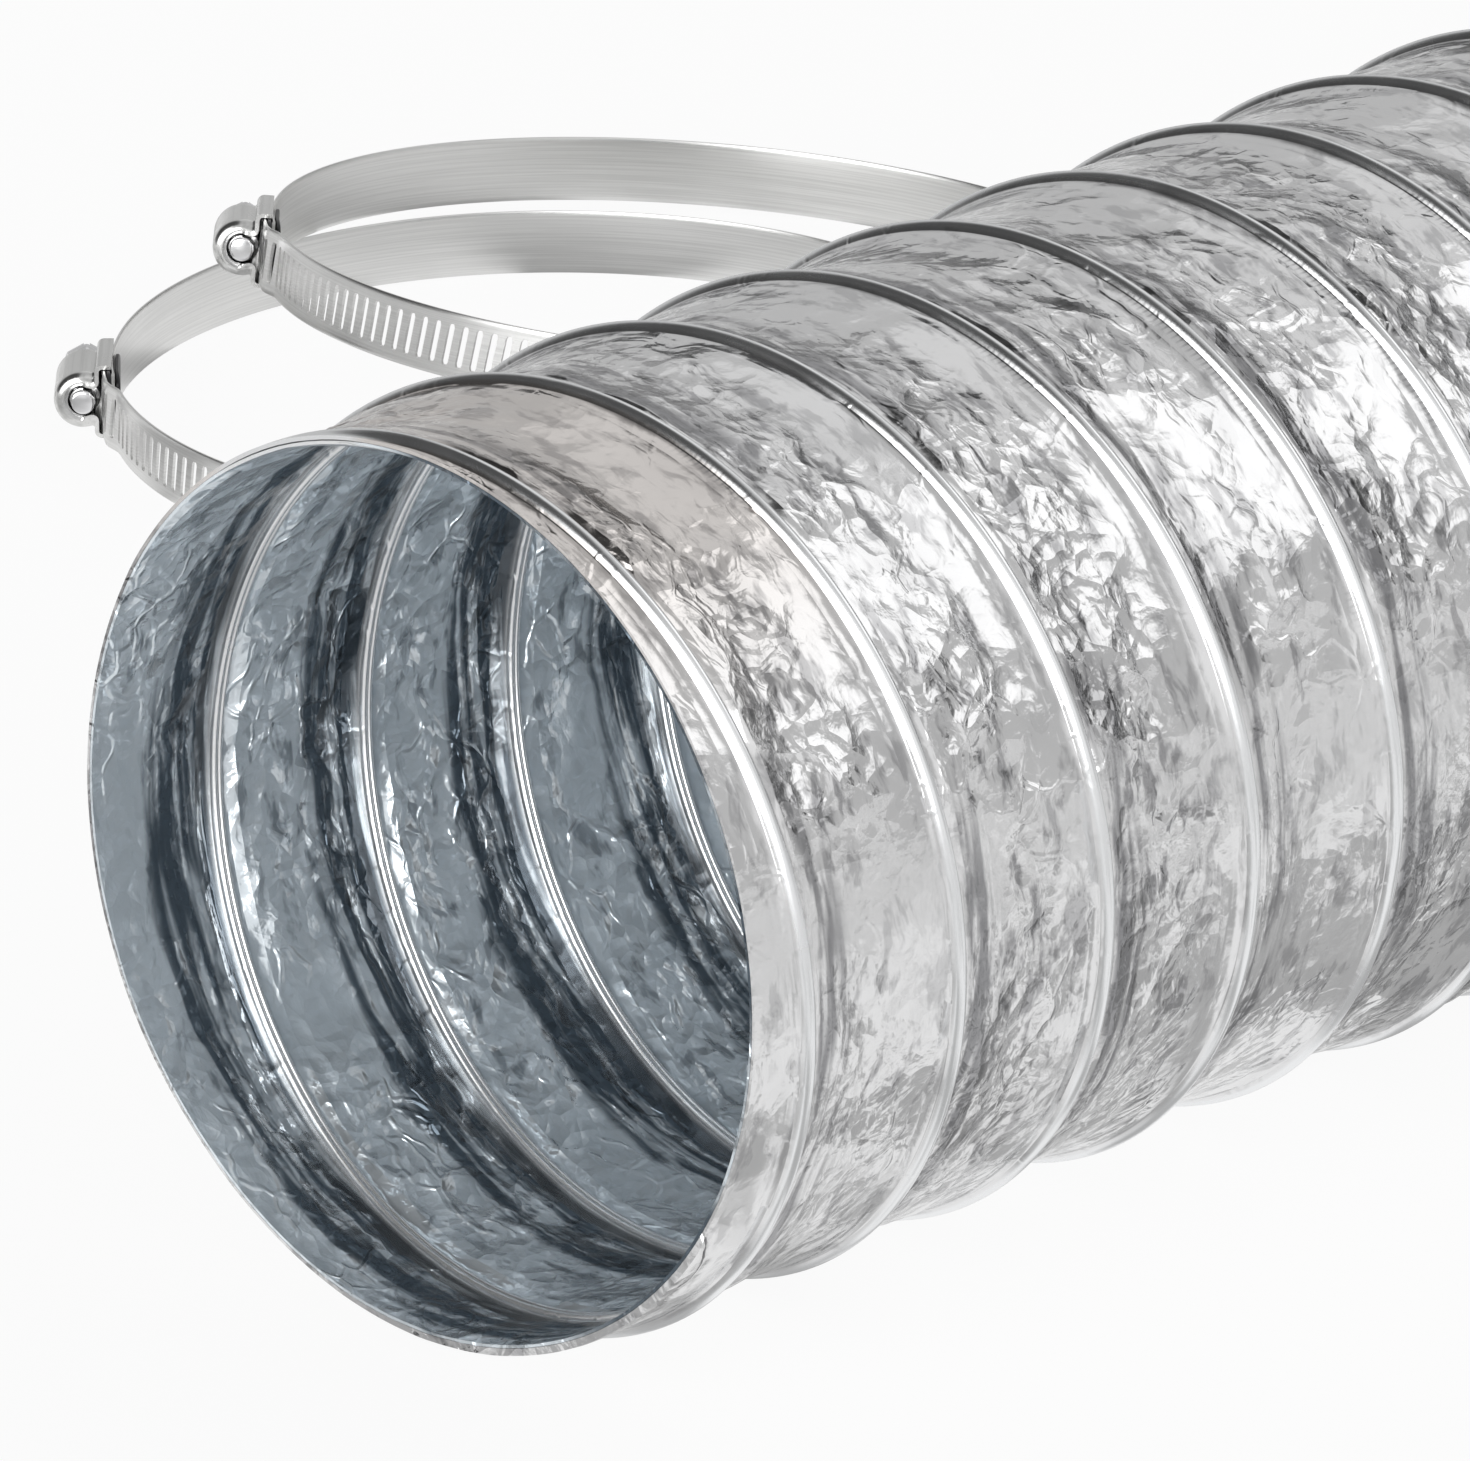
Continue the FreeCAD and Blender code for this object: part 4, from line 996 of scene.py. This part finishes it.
steel = {  # scales per metre, or for each axis of the clamp's own frame
    "bandColour": (0.84, 0.84, 0.83, 1), "bandDark": (0.72, 0.72, 0.71, 1), "bandRoughness": 0.22,
    "bandLines": (25, 2600, 1), "bandRange": (0.3, 0.7), "bandMarks": 60.0, "bandMarksRough": 0.08,
    "pressedColour": (0.80, 0.80, 0.79, 1), "screwColour": (0.86, 0.86, 0.87, 1),
    # painted dark reflection: the saddle's steel gets a near-black colour
    "saddleDarkReflectionColour": (0.030, 0.030, 0.033, 1), "wireColour": (0.60, 0.60, 0.60, 1),
    "drawn": (700, 18, 700), "turned": (6, 1500, 6), "grainRange": (0.3, 0.65), "grainDark": 0.84, "grainRough": 0.06,
    "marks": 160.0, "marksRange": (0.4, 0.75), "marksHeight": 0.5, "rougher": 0.10, "depth": 0.012,  # depth in mm
}


def bandFinish():
    # satin strip: rolling lines along the strip, from the piece's own lay coordinates
    made = Finish("bandFinish", Metallic=1.0)
    lines = made.noise(made.attribute("lay", "Vector"), steel["bandLines"], *detailed)
    marksAndPaintedShade = made.noise(made.place(), steel["bandMarks"], *detailed)
    share = lines.between(*steel["bandRange"])
    made.feed("Base Color", made.blendColours(share, steel["bandDark"], steel["bandColour"]))
    rough = lines * steel["rougher"] + marksAndPaintedShade * steel["bandMarksRough"]
    made.feed("Roughness", steel["bandRoughness"] + rough)
    made.feed("Normal", made.bump(lines, steel["depth"] * mm))
    return made.owner


def metalFinish(name, colour, roughness, lines=None, metallic=1.0):
    # pressed or turned metal: fine lines that follow the tool, and faint handling marks
    made = Finish(name, Metallic=metallic)
    if lines:
        grain = made.noise(made.attribute("lay", "Vector"), lines, *detailed)
    else:
        grain = made.noise(made.place(), steel["marks"] * 5)
    marks = made.noise(made.place(), steel["marks"], *detailed)
    darker = tuple(channel * steel["grainDark"] for channel in colour[:3]) + (1,)
    made.feed("Base Color", made.blendColours(grain.between(*steel["grainRange"]), darker, colour))
    rough = marks.between(*steel["marksRange"]) * steel["rougher"] + grain * steel["grainRough"]
    made.feed("Roughness", roughness + rough)
    made.feed("Normal", made.bump(grain + marks * steel["marksHeight"], steel["depth"] * mm))
    return made.owner


bandSteel = bandFinish()
for piece in bands:
    piece.data.materials.append(bandSteel)
finishes = (
    metalFinish("pressedSteel", steel["pressedColour"], 0.17, steel["drawn"]),
    metalFinish("saddlePlate", steel["saddleDarkReflectionColour"], 0.30, steel["drawn"], 0.35),
    metalFinish("platedScrew", steel["screwColour"], 0.13, steel["turned"]),
)
springWire.data.materials.append(metalFinish("springWireSteel", steel["wireColour"], 0.3))
for pieces in clampMetal:
    for piece, finish in zip(pieces, finishes):
        piece.data.materials.append(finish)
print("finishes made")
